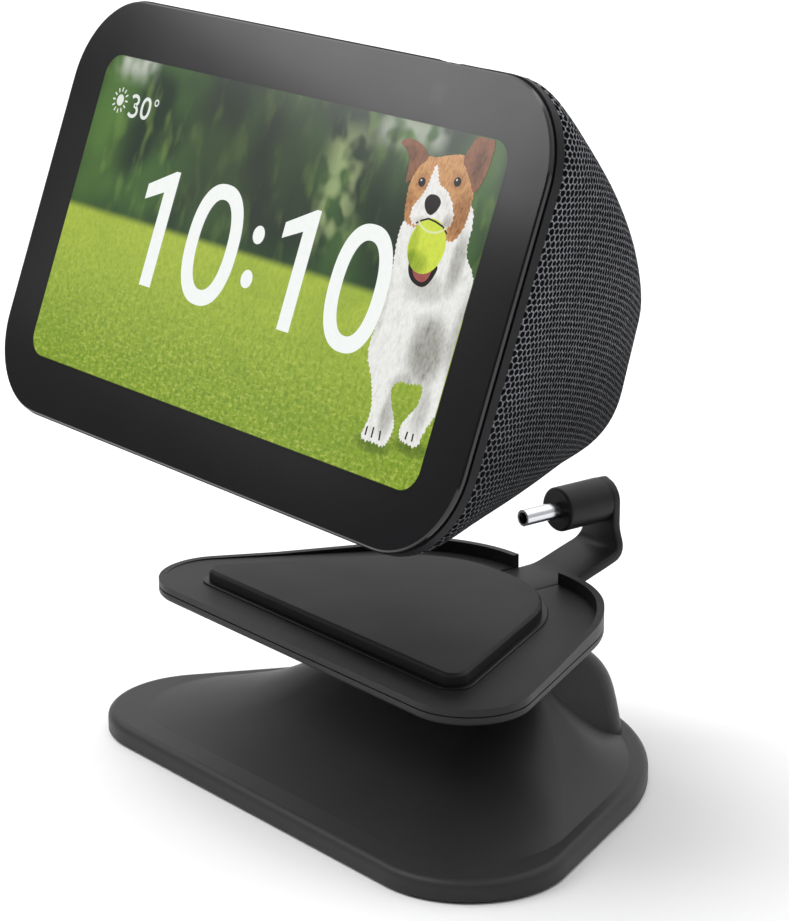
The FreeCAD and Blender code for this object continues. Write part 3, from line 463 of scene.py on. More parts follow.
def skin_grid():
    """Outer points of the cover, grid[column][row], from the frame's rear to the last ring."""
    columns = body_columns()
    starts = [frame_rear(column) for column in columns]
    first_row = max(i for _, i in starts) + 2
    return [[start] + column[first_row:] for column, (start, _) in zip(columns, starts)]


def from_side(grid, c, r):
    """Distance along a ring from the middle of the nearer side, positive towards the top."""
    mirrored = min(c, len(grid) - c)
    total, step = 0.0, 1 if mirrored > SIDE_MIDDLE else -1
    k = SIDE_MIDDLE
    while k != mirrored:
        total += (grid[k + step][r] - grid[k][r]).length
        k += step
    return total * step


def running_length(column):
    """Distance of each point of a column from its first point."""
    lengths = [0.0]
    for a, b in zip(column, column[1:]):
        lengths.append(lengths[-1] + (b - a).length)
    return lengths


def knit_zone(column):
    if column < LOWER_FOLD:
        return BOTTOM
    return SIDE if column < UPPER_FOLD else TOP


def fabric_mesh(grid):
    """The skin's surface, closed at the rear, with knit coordinates in millimetres as its UVs."""
    count, rows = len(grid), len(grid[0])
    points = [Vector((p.x, p.y, max(p.z, UNDERSIDE))) for column in grid for p in column]
    centre = sum((column[-1] for column in grid), Vector((0, 0, 0))) / count
    cap = len(points)
    points.append(centre + Vector((0, CAP_BULGE, 0)))
    corners = []
    for c in range(count):
        d = (c + 1) % count
        corners += [((c, r + 1), (d, r + 1), (d, r), (c, r)) for r in range(rows - 1)]
    corners += [(((c + 1) % count, rows - 1), (c, rows - 1)) for c in range(count)]
    faces = []
    for pairs in corners:
        face = [c * rows + r for c, r in pairs]
        faces.append(face if len(face) == 4 else face + [cap])
    mesh = mesh_from("fabric_skin", [p * MM for p in points], faces)
    arcs = [[from_side(grid, c, r) for r in range(rows)] for c in range(count)]
    along = [running_length(column) for column in grid]
    layer = mesh.uv_layers.new(name="knit")
    for polygon, pairs in zip(mesh.polygons, corners):
        zone = knit_zone(min(min(c, count - c) for c, _ in pairs))
        shift = ZONE_SHIFT * zone
        uvs = [(arcs[c][r] if zone == SIDE else grid[c][r].x + shift, along[c][r]) for c, r in pairs]
        if len(pairs) == 2:
            c, r = pairs[0]
            u = arcs[c][r] if zone == SIDE else centre.x + shift
            uvs.append((u, along[c][r] + (centre - grid[c][r]).length))
        for loop, uv in zip(polygon.loop_indices, uvs):
            layer.data[loop].uv = uv
    return mesh


def fabric_skin(material):
    """The knitted cover: a stretched skin over the wedge, open at the foot, the buttons and the port."""
    obj = add_object("fabric_skin", fabric_mesh(skin_grid()), material)
    solid = obj.modifiers.new("thickness", "SOLIDIFY")
    solid.thickness = FABRIC_THICK * MM
    solid.offset = -1
    solid.use_even_offset = True
    apply_modifiers(obj)
    bar = rounded_rectangle(BAR_LENGTH, BAR_WIDTH, BAR_WIDTH / 2 - 0.01, 16)
    cut_with(obj, [
        outline_tool("recess_tool", tapered_outline(RECESS_OUTLINE), UNDERSIDE - TOOL_DROP, RECESS_TOP),
        outline_tool("foot_tool", tapered_outline(FOOT_OUTLINE), UNDERSIDE - TOOL_DROP, UNDERSIDE + FOOT_CUT),
        slope_tool("bar_tool", bar, BAR_CUT),
        port_tool("port_tool", PORT_HOLE_R),
    ])
    for polygon in obj.data.polygons:
        polygon.use_smooth = True
    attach(obj, "display")
    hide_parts("fabric_cover")


# The knit in millimetres: cells per mm beside the frame and how they crowd up to a distance from it, a cell's
# height, how far the threads sway, and the pitch of the slanting ribs on the back.
KNIT_DENSITY, KNIT_CROWDING, KNIT_CROWDED = 0.435, 0.0056, 22.0
KNIT_HEIGHT, KNIT_SWAY, KNIT_RIB = 1.3, 0.45, 2.08
# Heights between which painted shade darkens the knit towards the underside, in millimetres over the desk.
KNIT_UNSHADED_Z, KNIT_SHADED_Z = 112.0, 72.0


def knit_material():
    """Open warp knit: a net of light grey threads round dark, slightly irregular hexagonal holes, darkened
    towards the underside by painted shade.
    """
    g = Graph("knit_fabric")
    uv = g.tree.nodes.new("ShaderNodeUVMap")
    uv.uv_map = "knit"
    sway = g.node("ShaderNodeTexNoise", Scale=0.55, Detail=2.0, Vector=uv.outputs["UV"])
    offset = g.split(sway.outputs["Color"])
    u, v, _ = g.split(uv.outputs["UV"])
    u = g.math("MULTIPLY_ADD", g.math("SUBTRACT", offset[0], 0.5), KNIT_SWAY, u)
    v = g.math("MULTIPLY_ADD", g.math("SUBTRACT", offset[1], 0.5), KNIT_SWAY, v)
    near = g.math("MINIMUM", v, KNIT_CROWDED)
    bend = g.math("MULTIPLY", near, g.math("SUBTRACT", g.math("MULTIPLY", v, 2.0), near))
    x = g.math("MULTIPLY_ADD", bend, KNIT_CROWDING, g.math("MULTIPLY", v, KNIT_DENSITY))
    y = g.math("DIVIDE", u, KNIT_HEIGHT)
    tall = math.sqrt(3)

    def cell(shift):
        a = g.math("SUBTRACT", g.math("FLOORED_MODULO", g.math("ADD", x, shift), 1.0), 0.5)
        b = g.math("FLOORED_MODULO", g.math("ADD", y, shift * tall), tall)
        return a, g.math("SUBTRACT", b, tall / 2)

    def square(a, b):
        return g.math("ADD", g.math("MULTIPLY", a, a), g.math("MULTIPLY", b, b))

    ax, ay = cell(0.0)
    bx, by = cell(0.5)
    first = g.math("LESS_THAN", square(ax, ay), square(bx, by))
    second = g.math("SUBTRACT", 1.0, first)

    def nearer(a, b):
        """Distance from the centre of whichever cell is nearer, along one axis."""
        return g.math("ABSOLUTE", g.math("ADD", g.math("MULTIPLY", a, first), g.math("MULTIPLY", b, second)))

    cx, cy = nearer(ax, bx), nearer(ay, by)
    slant = g.math("ADD", g.math("MULTIPLY", cx, 0.5), g.math("MULTIPLY", cy, tall / 2))
    hexagon = g.math("MAXIMUM", cx, slant)
    circle = g.math("SQRT", square(cx, cy))
    edge = g.math("ADD", g.math("MULTIPLY", hexagon, 0.7), g.math("MULTIPLY", circle, 0.28))
    flat = g.join(u, v)
    uneven = g.noise(flat, 0.9, 3.0, 0.6)
    edge = g.math("ADD", edge, g.math("MULTIPLY", g.math("SUBTRACT", uneven, 0.5), 0.14))
    thread = g.step(edge, 0.35, 0.43)
    fibre = g.step(g.noise(g.scaled(flat, 3.0, 3.0, 1.0), 0.75, 3.0, 0.7), 0.36, 0.64)
    phase = g.math("MULTIPLY", g.math("MULTIPLY_ADD", v, 1.1, u), math.tau / KNIT_RIB)
    rib = g.math("MULTIPLY_ADD", g.math("SINE", phase), 0.5, 0.5)
    on_back = g.step(v, 6.0, 20.0)
    fibre = g.veil(on_back, 0.55, fibre, g.math("MULTIPLY", fibre, rib))
    lit = g.mix(fibre, srgb(20, 21, 24), srgb(158, 160, 165))
    lit = g.veil(g.step(circle, 0.47, 0.58), 0.5, lit, srgb(174, 176, 180))
    hollow = g.mix(g.noise(flat, 0.25, 2.0), srgb(3, 3, 5), srgb(10, 10, 14))
    colour = g.mix(thread, hollow, lit)
    height = g.split(g.object_mm())[2]
    # Painted shade: the knit's colour darkens towards the underside.
    colour = g.mix(g.step(height, KNIT_UNSHADED_Z, KNIT_SHADED_Z), colour, g.mix(0.62, colour, srgb(6, 6, 9)))
    g.bump(g.math("ADD", thread, g.math("MULTIPLY", fibre, 0.25)), 0.9, KNIT_DEPTH)
    gloss = g.math("MULTIPLY_ADD", thread, -0.25, 0.95)
    return g.surface(Base_Color=colour, Roughness=gloss, Specular_IOR_Level=0.03)


# ---------------------------------------------------------------- screen
SCREEN_GLOW = 0.92


class Picture(Graph):
    """Gloss over a lit picture, drawn in face coordinates: x across and up from the glass centre, in mm."""

    def __init__(self, name):
        super().__init__(name)
        mm = self.object_mm()
        across = self.tree.nodes.new("ShaderNodeVectorMath")
        across.operation = "DOT_PRODUCT"
        self.feed(across.inputs[0], mm)
        across.inputs[1].default_value = FACE_UP
        self.x = self.split(mm)[0]
        self.up = self.math("SUBTRACT", across.outputs["Value"], FACE_CENTRE.dot(FACE_UP))
        self.at = self.join(self.x, self.up)

    def patch(self, x, up, half_x, half_up, soft):
        """A soft-edged rectangle: 1 inside, 0 outside."""
        dx = self.math("ABSOLUTE", self.math("SUBTRACT", self.x, x))
        du = self.math("ABSOLUTE", self.math("SUBTRACT", self.up, up))
        return self.math("MULTIPLY", self.step(dx, half_x + soft, half_x - soft),
                         self.step(du, half_up + soft, half_up - soft))

    def blob(self, x, up, half_x, half_up):
        """A soft ellipse: 1 in the middle, 0 at its edge."""
        dx = self.math("DIVIDE", self.math("SUBTRACT", self.x, x), half_x)
        du = self.math("DIVIDE", self.math("SUBTRACT", self.up, up), half_up)
        away = self.math("ADD", self.math("MULTIPLY", dx, dx), self.math("MULTIPLY", du, du))
        return self.step(away, 1.0, 0.0)

    def lit(self, colour, glow=SCREEN_GLOW):
        """A picture that glows under the gloss of the glass."""
        return self.surface(Base_Color=srgb(8, 8, 9), Emission_Color=colour, Emission_Strength=glow,
                            Roughness=0.12, Specular_IOR_Level=0.35)


def screen_edge(g):
    """Signed distance to the screen's rounded rectangle in mm, negative inside."""
    dx = g.math("SUBTRACT", g.math("ABSOLUTE", g.x), SCREEN_WIDTH / 2 - SCREEN_R)
    du = g.math("SUBTRACT", g.math("ABSOLUTE", g.up), SCREEN_HEIGHT / 2 - SCREEN_R)
    ox, ou = g.math("MAXIMUM", dx, 0.0), g.math("MAXIMUM", du, 0.0)
    outside = g.math("SQRT", g.math("ADD", g.math("MULTIPLY", ox, ox), g.math("MULTIPLY", ou, ou)))
    inside = g.math("MINIMUM", g.math("MAXIMUM", dx, du), 0.0)
    return g.math("SUBTRACT", g.math("ADD", outside, inside), SCREEN_R)


def trees(g):
    """Out-of-focus crowns and sprays, with darker masses, gaps of sky and dark undergrowth."""
    warp = g.math("MULTIPLY_ADD", g.noise(g.at, 0.08, 4.0), 5.0, g.up)
    crowns = g.noise(g.scaled(g.at, 1.0, 0.75, 1.0), 0.06, 1.5, 0.5)
    sprays = g.noise(g.scaled(g.at, 1.3, 0.6, 1.0), 0.15, 2.0, 0.5)
    gap = g.noise(g.at, 0.2, 1.2, 0.5)
    sky = g.math("MULTIPLY", g.patch(-52, 31, 6, 3.0, 3.0), g.step(gap, 0.3, 0.55))
    right_gap = g.math("MULTIPLY", g.patch(20, 17, 5.0, 10, 4), g.step(gap, 0.4, 0.62))
    grey_gap = g.math("MULTIPLY", g.patch(36, 29.5, 9, 2.6, 2.4), g.step(gap, 0.36, 0.58))
    colour = g.mix(g.step(crowns, 0.38, 0.62), srgb(22, 46, 26), srgb(62, 98, 44))
    layers = (
        (g.step(sprays, 0.5, 0.72), 0.6, srgb(112, 142, 66)),
        (g.patch(-57, 16, 6, 20, 6), 0.5, srgb(96, 136, 58)),
        (g.patch(-8, 18, 22, 16, 9), 0.62, srgb(40, 48, 38)),
        (g.patch(36, 12, 10, 12, 6), 0.5, srgb(24, 44, 22)),
        (sky, 1.0, srgb(196, 201, 190)),
        (right_gap, 0.7, srgb(168, 184, 128)),
        (grey_gap, 0.75, srgb(176, 182, 168)),
        (g.step(warp, 9.0, 2.0), 0.6, srgb(34, 66, 28)),
    )
    for cover, strength, tone in layers:
        colour = g.veil(cover, strength, colour, tone)
    return colour


PAW_SHADOWS = ((48.5, -25.3), (58.5, -23.6))


def grass(g):
    """A sunny lawn that sharpens towards the viewer, with shadows under the paws."""
    blades = g.noise(g.scaled(g.at, 0.8, 1.6, 1.0), 0.9, 5.0, 0.7)
    tufts = g.noise(g.scaled(g.at, 1.0, 0.55, 1.0), 1.1, 4.0, 0.75)
    patches = g.noise(g.scaled(g.at, 0.5, 1.0, 1.0), 0.1, 2.0)
    depth = g.step(g.up, 0.0, -30.0)
    sharp = g.math("MULTIPLY_ADD", depth, 0.45, 0.2)
    colour = g.mix(depth, srgb(172, 192, 64), srgb(140, 168, 46))
    colour = g.veil(g.step(tufts, 0.42, 0.62), sharp, colour, srgb(92, 128, 28))
    colour = g.veil(g.step(blades, 0.48, 0.66), sharp, colour, srgb(204, 214, 104))
    colour = g.veil(g.step(patches, 0.45, 0.7), 0.25, colour, srgb(116, 150, 40))
    for x, up in PAW_SHADOWS:
        colour = g.veil(g.blob(x, up, 6.5, 2.2), 0.6, colour, srgb(58, 84, 20))
    return colour


HORIZON_TOP, HORIZON_BOTTOM = 1.1, -0.9
CAMERA_WINDOW = (39.5, 36.8, 1.8, 1.8, 0.2)


def glass_material():
    """Cover glass: black ink bezel with the lit picture inside it and a faint camera window."""
    g = Picture("bezel_glass")
    edge = screen_edge(g)
    shown = g.step(edge, 0.12, -0.12)
    ink = g.veil(g.patch(*CAMERA_WINDOW), 0.7, srgb(17, 17, 19), srgb(40, 40, 43))
    ink = g.mix(g.step(edge, 0.9, 0.2), ink, srgb(8, 8, 10))
    picture = g.mix(g.step(g.up, HORIZON_TOP, HORIZON_BOTTOM), trees(g), grass(g))
    smudge = g.noise(g.at, 0.06, 3.0)
    return g.surface(Base_Color=g.mix(shown, ink, srgb(8, 8, 9)),
                     Roughness=g.math("MULTIPLY_ADD", smudge, 0.05, 0.10),
                     Emission_Color=picture,
                     Emission_Strength=g.math("MULTIPLY", shown, SCREEN_GLOW),
                     Specular_IOR_Level=0.5)


def fur_material(name, light, dark, shades, grain):
    """Fur with fine hairs and soft shade; shades lists ellipses as x, up, half width, half height, depth."""
    g = Picture(name)
    hairs = g.noise(g.scaled(g.at, 1.0, 0.45, 1.0), 1.5, 5.0, 0.75)
    locks = g.noise(g.scaled(g.at, 1.0, 0.6, 1.0), 0.4, 3.0, 0.6)
    parted = g.math("MULTIPLY", g.step(locks, 0.5, 0.8), 0.25)
    amount = g.math("MULTIPLY_ADD", g.step(hairs, 0.4, 0.65), grain, parted)
    for x, up, half_x, half_up, depth in shades:
        amount = g.math("MULTIPLY_ADD", g.blob(x, up, half_x, half_up), depth, amount)
    return g.lit(g.mix(g.math("MINIMUM", amount, 1.0), light, dark))


def plain_lit(name, light, dark, glow=SCREEN_GLOW):
    """A lit colour with a faint unevenness."""
    g = Picture(name)
    return g.lit(g.mix(g.noise(g.at, 0.7, 3.0), dark, light), glow)


SCREEN_MARGIN = 0.15
DECAL_STEP = 0.02
# Order of the thin pieces on the glass, from the dog's body at 0 to the clock on top.
TEXT_LAYER = 6


def clip_to_screen(points):
    """Keep a polygon inside the lit area by holding its points at the edge."""
    half_x, half_up = SCREEN_WIDTH / 2 - SCREEN_MARGIN, SCREEN_HEIGHT / 2 - SCREEN_MARGIN
    return [(max(-half_x, min(half_x, x)), max(-half_up, min(half_up, u))) for x, u in points]


def decal(name, loops, layer, material):
    """Flat filled shape on the glass; loops after the first cut holes in it."""
    bm = bmesh.new()
    edges = []
    for loop in loops:
        ring = [bm.verts.new(on_face(x, u, DECAL_STEP + DECAL_STEP * layer)) for x, u in loop]
        edges += [bm.edges.new((ring[i - 1], ring[i])) for i in range(len(ring))]
    bmesh.ops.triangle_fill(bm, use_beauty=True, use_dissolve=False, edges=edges, normal=FACE_OUT)
    for face in bm.faces:
        if face.normal.dot(FACE_OUT) < 0:
            face.normal_flip()
    mesh = bpy.data.meshes.new(name)
    bm.to_mesh(mesh)
    bm.free()
    obj = add_object(name, mesh, material, "display")


HAIR_LEAN = Vector((0.25, -1.0)) * 0.5
HAIR_SPACING = 0.45
GOLDEN_ANGLE = 2.399


def furry(points, length):
    """A closed outline with hair tips: every other point is pushed outwards and along the lie of the hair."""
    spaced = []
    for i, p in enumerate(points):
        q = Vector(points[(i + 1) % len(points)])
        p = Vector(p)
        pieces = max(1, round((q - p).length / HAIR_SPACING))
        spaced += [p.lerp(q, k / pieces) for k in range(pieces)]
    area = sum(a.x * b.y - b.x * a.y for a, b in zip(spaced, spaced[1:] + spaced[:1]))
    turn = 1 if area > 0 else -1
    result = []
    for i, p in enumerate(spaced):
        along = (spaced[(i + 1) % len(spaced)] - spaced[i - 1]).normalized()
        outward = Vector((along.y, -along.x)) * turn
        reach = (0.35 + 0.65 * abs(math.sin(i * GOLDEN_ANGLE))) * length if i % 2 else 0.0
        result.append(p + (outward + HAIR_LEAN) * reach)
    return [tuple(p) for p in result]


def superellipse(cx, cy, rx, ry, power=2.0, steps=72):
    points = []
    for k in range(steps):
        a = math.tau * k / steps
        c, s = math.cos(a), math.sin(a)
        points.append((cx + rx * math.copysign(abs(c) ** (2 / power), c),
                       cy + ry * math.copysign(abs(s) ** (2 / power), s)))
    return points


def stroke(points, width):
    """Outline of an open line of the given width."""
    left, right = [], []
    for i, p in enumerate(points):
        here = Vector(p)
        before = Vector(points[max(i - 1, 0)])
        after = Vector(points[min(i + 1, len(points) - 1)])
        along = (after - before).normalized()
        side = Vector((-along.y, along.x)) * width / 2
        left.append(here + side)
        right.append(here - side)
    return [tuple(p) for p in left + right[::-1]]


def arc_line(cx, cy, rx, ry, start, end, steps):
    """Points along an ellipse between two angles in degrees."""
    return [(cx + rx * x, cy + ry * y) for x, y in corner_arc((0, 0), 1, start, end, steps)]


PAIR_SHIFT = 45.3


def big_one(x):
    return [(x - 28.0, -11.4), (x - 28.0, 11.6), (x - 29.3, 11.6), (x - 37.4, 7.9), (x - 37.4, 4.9),
            (x - 31.7, 7.1), (x - 31.7, -11.4)]


def big_zero(x):
    return [superellipse(x - 12.2, 0.0, 8.2, 11.8, 2.35), superellipse(x - 12.2, 0.0, 4.6, 8.8, 2.25)]


def clock():
    """Ten past ten, as two pairs of a one and a zero with a colon between them."""
    ink = plain_lit("clock_white", srgb(250, 252, 250), srgb(238, 243, 240), 0.98)
    for pair in range(2):
        at = pair * PAIR_SHIFT
        decal(f"clock_one_{pair}", [big_one(at)], TEXT_LAYER, ink)
        decal(f"clock_zero_{pair}", big_zero(at), TEXT_LAYER, ink)
        decal(f"clock_colon_{pair}", [superellipse(1.0, 4.25 - 8.5 * pair, 1.75, 1.75)], TEXT_LAYER, ink)


def small_three(x, up, height):
    """The numeral 3 drawn as two bowls."""
    r = height / 4
    top = arc_line(x, up + r, 1.25, r * 0.86, 150, -85, 14)
    low = arc_line(x, up - r, 1.45, r, 85, -150, 14)
    return stroke(top + low, 0.7)


SUN_AT = (-54.6, 22.4)
SUN_RAYS = 12
DEGREES_UP = 21.95


def weather():
    """A small sun and thirty degrees."""
    ink = plain_lit("weather_white", srgb(244, 247, 243), srgb(226, 233, 228), 0.9)
    decal("sun_disc", [superellipse(*SUN_AT, 1.15, 1.15)], TEXT_LAYER, ink)
    for k in range(SUN_RAYS):
        a = math.tau * k / SUN_RAYS
        line = [(SUN_AT[0] + r * math.cos(a), SUN_AT[1] + r * math.sin(a)) for r in (1.75, 2.6)]
        decal(f"sun_ray_{k}", [stroke(line, 0.34)], TEXT_LAYER, ink)
    decal("degrees_three", [small_three(-49.5, DEGREES_UP, 4.3)], TEXT_LAYER, ink)
    zero = superellipse(-45.3, DEGREES_UP, 1.65, 2.25, 2.3)
    hole = superellipse(-45.3, DEGREES_UP, 0.92, 1.55, 2.2)
    decal("degrees_zero", [zero, hole], TEXT_LAYER, ink)
    ring = [superellipse(-42.1, 23.5, 0.75, 0.75), superellipse(-42.1, 23.5, 0.42, 0.42)]
    decal("degrees_ring", ring, TEXT_LAYER, ink)


DOG_BODY = [
    (40.5, 14), (39.9, 11.6), (40.1, 8.9), (40.8, 5), (41.1, 0), (41.0, -3.9), (40.4, -8.4), (41.2, -11.4),
    (43.3, -14.2), (45.3, -18.3), (45.6, -21.3), (44.9, -24.1), (45.6, -24.9), (48.2, -24.8), (51.1, -24.9),
    (52.1, -23.5), (52.5, -21.3), (51.8, -19.6), (50.2, -17.3), (49.2, -15), (50.6, -13.3), (53.6, -13.1),
    (56.1, -12.6), (57.4, -13.4), (57.2, -16.4), (55.7, -18.5), (54.5, -20.6), (54.9, -22.5), (56.7, -23.0),
    (59.7, -23), (60.6, -20.1), (62.6, -15.9), (64.0, -10), (64.0, -2), (63.6, 4), (61.3, 8.1), (59, 10.3),
    (58.2, 12.6), (58, 15.9), (56.6, 19), (52, 20), (45, 19),
]
DOG_HEAD = [
    (39.1, 20.6), (39.8, 23.6), (41.6, 25.6), (44.3, 25.9), (46.8, 26.6), (50.5, 27.3), (52.5, 26.6),
    (54.7, 24.3), (55.9, 22), (56.3, 18.9), (55.9, 14.9), (53.6, 12.4), (48.5, 13.5), (42.8, 13.3),
    (40.5, 14), (39.6, 16.1), (39.1, 19),
]
DOG_RIGHT_EAR = [
    (51.3, 26.6), (52.4, 29.6), (53.5, 31.0), (56.2, 31.4), (57.9, 30.6), (58.2, 28.0), (57.7, 24.3),
    (56.2, 21.6), (54.2, 23.6), (52.6, 25.2),
]
DOG_LEFT_EAR = [
    (37.9, 20.4), (37.2, 24.0), (35.6, 26.0), (33.7, 26.9), (34.3, 27.7), (36.3, 28.1), (39, 27.6),
    (41.2, 26.5), (41.9, 25.2), (40.4, 23.8), (39.2, 21.6),
]
DOG_BLAZE = [
    (44.7, 24.6), (45.6, 23.2), (46.9, 21.4), (49.2, 20.6), (51.6, 18.4), (52.6, 15.6), (50.0, 13.6),
    (44.5, 13.6), (42.0, 14.3), (41.6, 16.4), (42.9, 18.4), (43.9, 20.4), (44.3, 22.6),
]
DOG_JAW = [
    (44.6, 8.0), (45.0, 5.6), (46.8, 3.9), (49.6, 3.4), (51.4, 4.6), (52.4, 7.4), (50.0, 8.0), (46.0, 8.4),
]
DOG_TONGUE = [(46.0, 6.6), (47.0, 4.8), (49.2, 4.2), (50.7, 5.2), (51.0, 7.2), (49.0, 6.6)]
DOG_LIPS = [(43.6, 13.9), (44.9, 14.6), (46.6, 15.2), (48.6, 15.0), (50.8, 14.5), (52.4, 13.4)]
DOG_NOSE = [
    (44.4, 18.4), (45.4, 19.4), (47.4, 19.4), (48.6, 18.4), (48.1, 16.9), (46.9, 15.9), (45.6, 16.2),
    (44.6, 17.2),
]
DOG_EYES = ((42.1, 21.1), (51.3, 22.6))
DOG_TOES = (
    ((45.9, -22.6), (45.9, -24.2)),
    ((47.6, -22.4), (47.7, -24.3)),
    ((49.6, -22.6), (49.9, -24.3)),
    ((56.6, -21.2), (56.5, -22.6)),
    ((58.2, -21.2), (58.3, -22.6)),
)
# Shaded places of each coat: x, up, half width, half height and depth of the shade.
WHITE_SHADES = (
    (55.5, -7.0, 6.5, 8.0, 0.75), (51.5, -14.5, 3.5, 3.5, 0.5), (63.0, -3.0, 3.5, 10.0, 0.5),
    (50.5, 3.5, 7.5, 3.5, 0.4), (57.0, 9.0, 2.5, 7.0, 0.6), (50.0, -20.0, 2.5, 5.0, 0.5),
    (58.5, -17.0, 2.5, 6.0, 0.4), (41.0, -2.0, 1.5, 8.0, 0.25),
)
MUZZLE_SHADES = ((51.8, 15.0, 2.2, 2.5, 0.6), (46.6, 14.2, 5.0, 1.5, 0.5))
BROWN_SHADES = (
    (54.5, 17.0, 3.5, 6.0, 0.5), (42.1, 21.2, 2.4, 2.0, 0.35), (51.3, 22.8, 2.6, 2.2, 0.35),
    (40.0, 16.5, 2.0, 4.0, 0.35),
)
EAR_SHADES = ((55.6, 26.5, 2.0, 4.5, 0.5), (37.0, 25.5, 3.0, 2.0, 0.4))
BALL_SHADES = ((46.0, 7.0, 4.5, 3.0, 0.7), (44.5, 10.0, 1.8, 4.5, 0.4))


def dog_coat():
    """Body, head, ears and blaze; all but the left ear have hair tips along their outline."""
    white = fur_material("fur_white", srgb(246, 246, 243), srgb(138, 136, 126), WHITE_SHADES, 0.2)
    muzzle = fur_material("fur_muzzle", srgb(247, 246, 243), srgb(168, 160, 148), MUZZLE_SHADES, 0.25)
    brown = fur_material("fur_brown", srgb(214, 160, 106), srgb(132, 80, 44), BROWN_SHADES, 0.45)
    dark_brown = fur_material("fur_dark", srgb(146, 98, 72), srgb(78, 50, 38), EAR_SHADES, 0.4)
    decal("dog_body", [clip_to_screen(furry(smooth_loop(DOG_BODY), 0.35))], 0, white)
    decal("dog_head", [furry(smooth_loop(DOG_HEAD), 0.25)], 1, brown)
    decal("dog_right_ear", [clip_to_screen(furry(smooth_loop(DOG_RIGHT_EAR), 0.2))], 2, dark_brown)
    decal("dog_left_ear", [smooth_loop(DOG_LEFT_EAR)], 2, dark_brown)
    decal("dog_blaze", [furry(smooth_loop(DOG_BLAZE), 0.45)], 2, muzzle)


def dog_mouth(black):
    """Open mouth with the ball in it."""
    pink = plain_lit("mouth_pink", srgb(188, 104, 98), srgb(132, 62, 60))
    lime = fur_material("ball_lime", srgb(216, 232, 76), srgb(134, 160, 34), BALL_SHADES, 0.2)
    seam = plain_lit("seam_white", srgb(238, 244, 196), srgb(214, 224, 150))
    decal("dog_jaw", [smooth_loop(DOG_JAW)], 2, black)
    decal("dog_tongue", [smooth_loop(DOG_TONGUE)], 3, pink)
    decal("dog_ball", [superellipse(48.05, 10.5, 4.95, 4.95)], 4, lime)
    decal("ball_seam", [stroke(arc_line(48.0, 15.6, 4.2, 2.6, 205, 335, 18), 0.4)], 5, seam)
    decal("dog_lips", [stroke(DOG_LIPS, 0.35)], 5, black)


def dog():
    """A leaping puppy with a ball in its mouth, at the right of the picture."""
    black = plain_lit("fur_black", srgb(34, 26, 24), srgb(16, 12, 12))
    glint = plain_lit("eye_glint", srgb(236, 238, 240), srgb(220, 222, 226))
    dog_coat()
    dog_mouth(black)
    decal("dog_nose", [smooth_loop(DOG_NOSE)], 5, black)
    for side, (x, u) in enumerate(DOG_EYES):
        decal(f"dog_eye_{side}", [superellipse(x, u, 0.95, 0.85)], 3, black)
        decal(f"dog_glint_{side}", [superellipse(x - 0.25, u + 0.3, 0.2, 0.2, steps=16)], 4, glint)
    for toe, line in enumerate(DOG_TOES):
        decal(f"dog_toe_{toe}", [stroke(line, 0.4)], 2, black)


# ---------------------------------------------------------------- soft pieces of the tray
BEND_STEPS = 16
STRAP_PITCH = 0.8


def bend_points(before, here, after, radius):
    """A smooth bend at a corner of the strap, as long as an arc of the radius would be."""
    a, b = (before - here).normalized(), (after - here).normalized()
    reach = radius / math.tan(a.angle(b) / 2)
    points = []
    for k in range(BEND_STEPS + 1):
        t = k / BEND_STEPS
        points.append((here + a * reach) * (1 - t) ** 2 + here * 2 * t * (1 - t) + (here + b * reach) * t * t)
    return points


def strap_path():
    """Middle line of the strap as (y, z) points: along the tray, up a slope, then upright behind the plug."""
    lie = TRAY_TOP - STRAP_THICK / 2
    upright = PLUG_REAR_Y + STRAP_THICK / 2
    bend_z = lie + math.tan(math.radians(STRAP_RISE)) * (upright - STRAP_RISE_Y)
    start, rise = Vector((STRAP_START_Y, lie)), Vector((STRAP_RISE_Y, lie))
    fold, end = Vector((upright, bend_z)), Vector((upright, PLUG_Z + STRAP_HEAD_R))
    bends = bend_points(start, rise, fold, STRAP_BEND_R) + bend_points(rise, fold, end, STRAP_FOLD_R)
    path = [start, *bends, end]
    dense = []
    for p, q in zip(path, path[1:]):
        pieces = max(1, round((q - p).length / STRAP_PITCH))
        dense += [p.lerp(q, k / pieces) for k in range(pieces)]
    return dense + [end]


def strap_half_width(height):
    """Half the strap's width: narrower up the slope, and round about the plug's axis at its head."""
    over = height - PLUG_Z
    if over > 0:
        return math.sqrt(max(STRAP_HEAD_MIN, STRAP_HEAD_R ** 2 - over ** 2))
    blend = min(1.0, max(0.0, (height - STRAP_WIDE_Z) / (STRAP_NARROW_Z - STRAP_WIDE_Z)))
    blend = blend * blend * (3 - 2 * blend)
    return STRAP_WIDTH / 2 + (STRAP_NECK / 2 - STRAP_WIDTH / 2) * blend


def strap(material):
    """Flat rubber strap that rises out of the tray and folds up behind the plug."""
    path = strap_path()
    sections = []
    for i, p in enumerate(path):
        along = (path[min(i + 1, len(path) - 1)] - path[max(i - 1, 0)]).normalized()
        normal = Vector((-along.y, along.x))
        section = rounded_rectangle(2 * strap_half_width(p.y), STRAP_THICK, STRAP_EDGE_R, 4)
        sections.append([Vector((x, p.x + normal.x * n, p.y + normal.y * n)) * MM for x, n in section])
    obj = add_object("strap", prism("strap", sections), material)
    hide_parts("plug_strap")
    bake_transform(obj)


# Section of the dock pad's edge, from its bottom to the middle of its top: inset and height.
PAD_HEIGHT = PAD_TOP - PAD_BOTTOM
PAD_EDGE = (
    (0.0, 0.0), (0.0, 0.1), (0.0, PAD_HEIGHT - 0.72), (0.0, PAD_HEIGHT - 0.62), (0.05, PAD_HEIGHT - 0.52),
    (0.48, PAD_HEIGHT - 0.05), (0.56, PAD_HEIGHT), (0.66, PAD_HEIGHT), (2.2, PAD_HEIGHT), (2.3, PAD_HEIGHT),
)


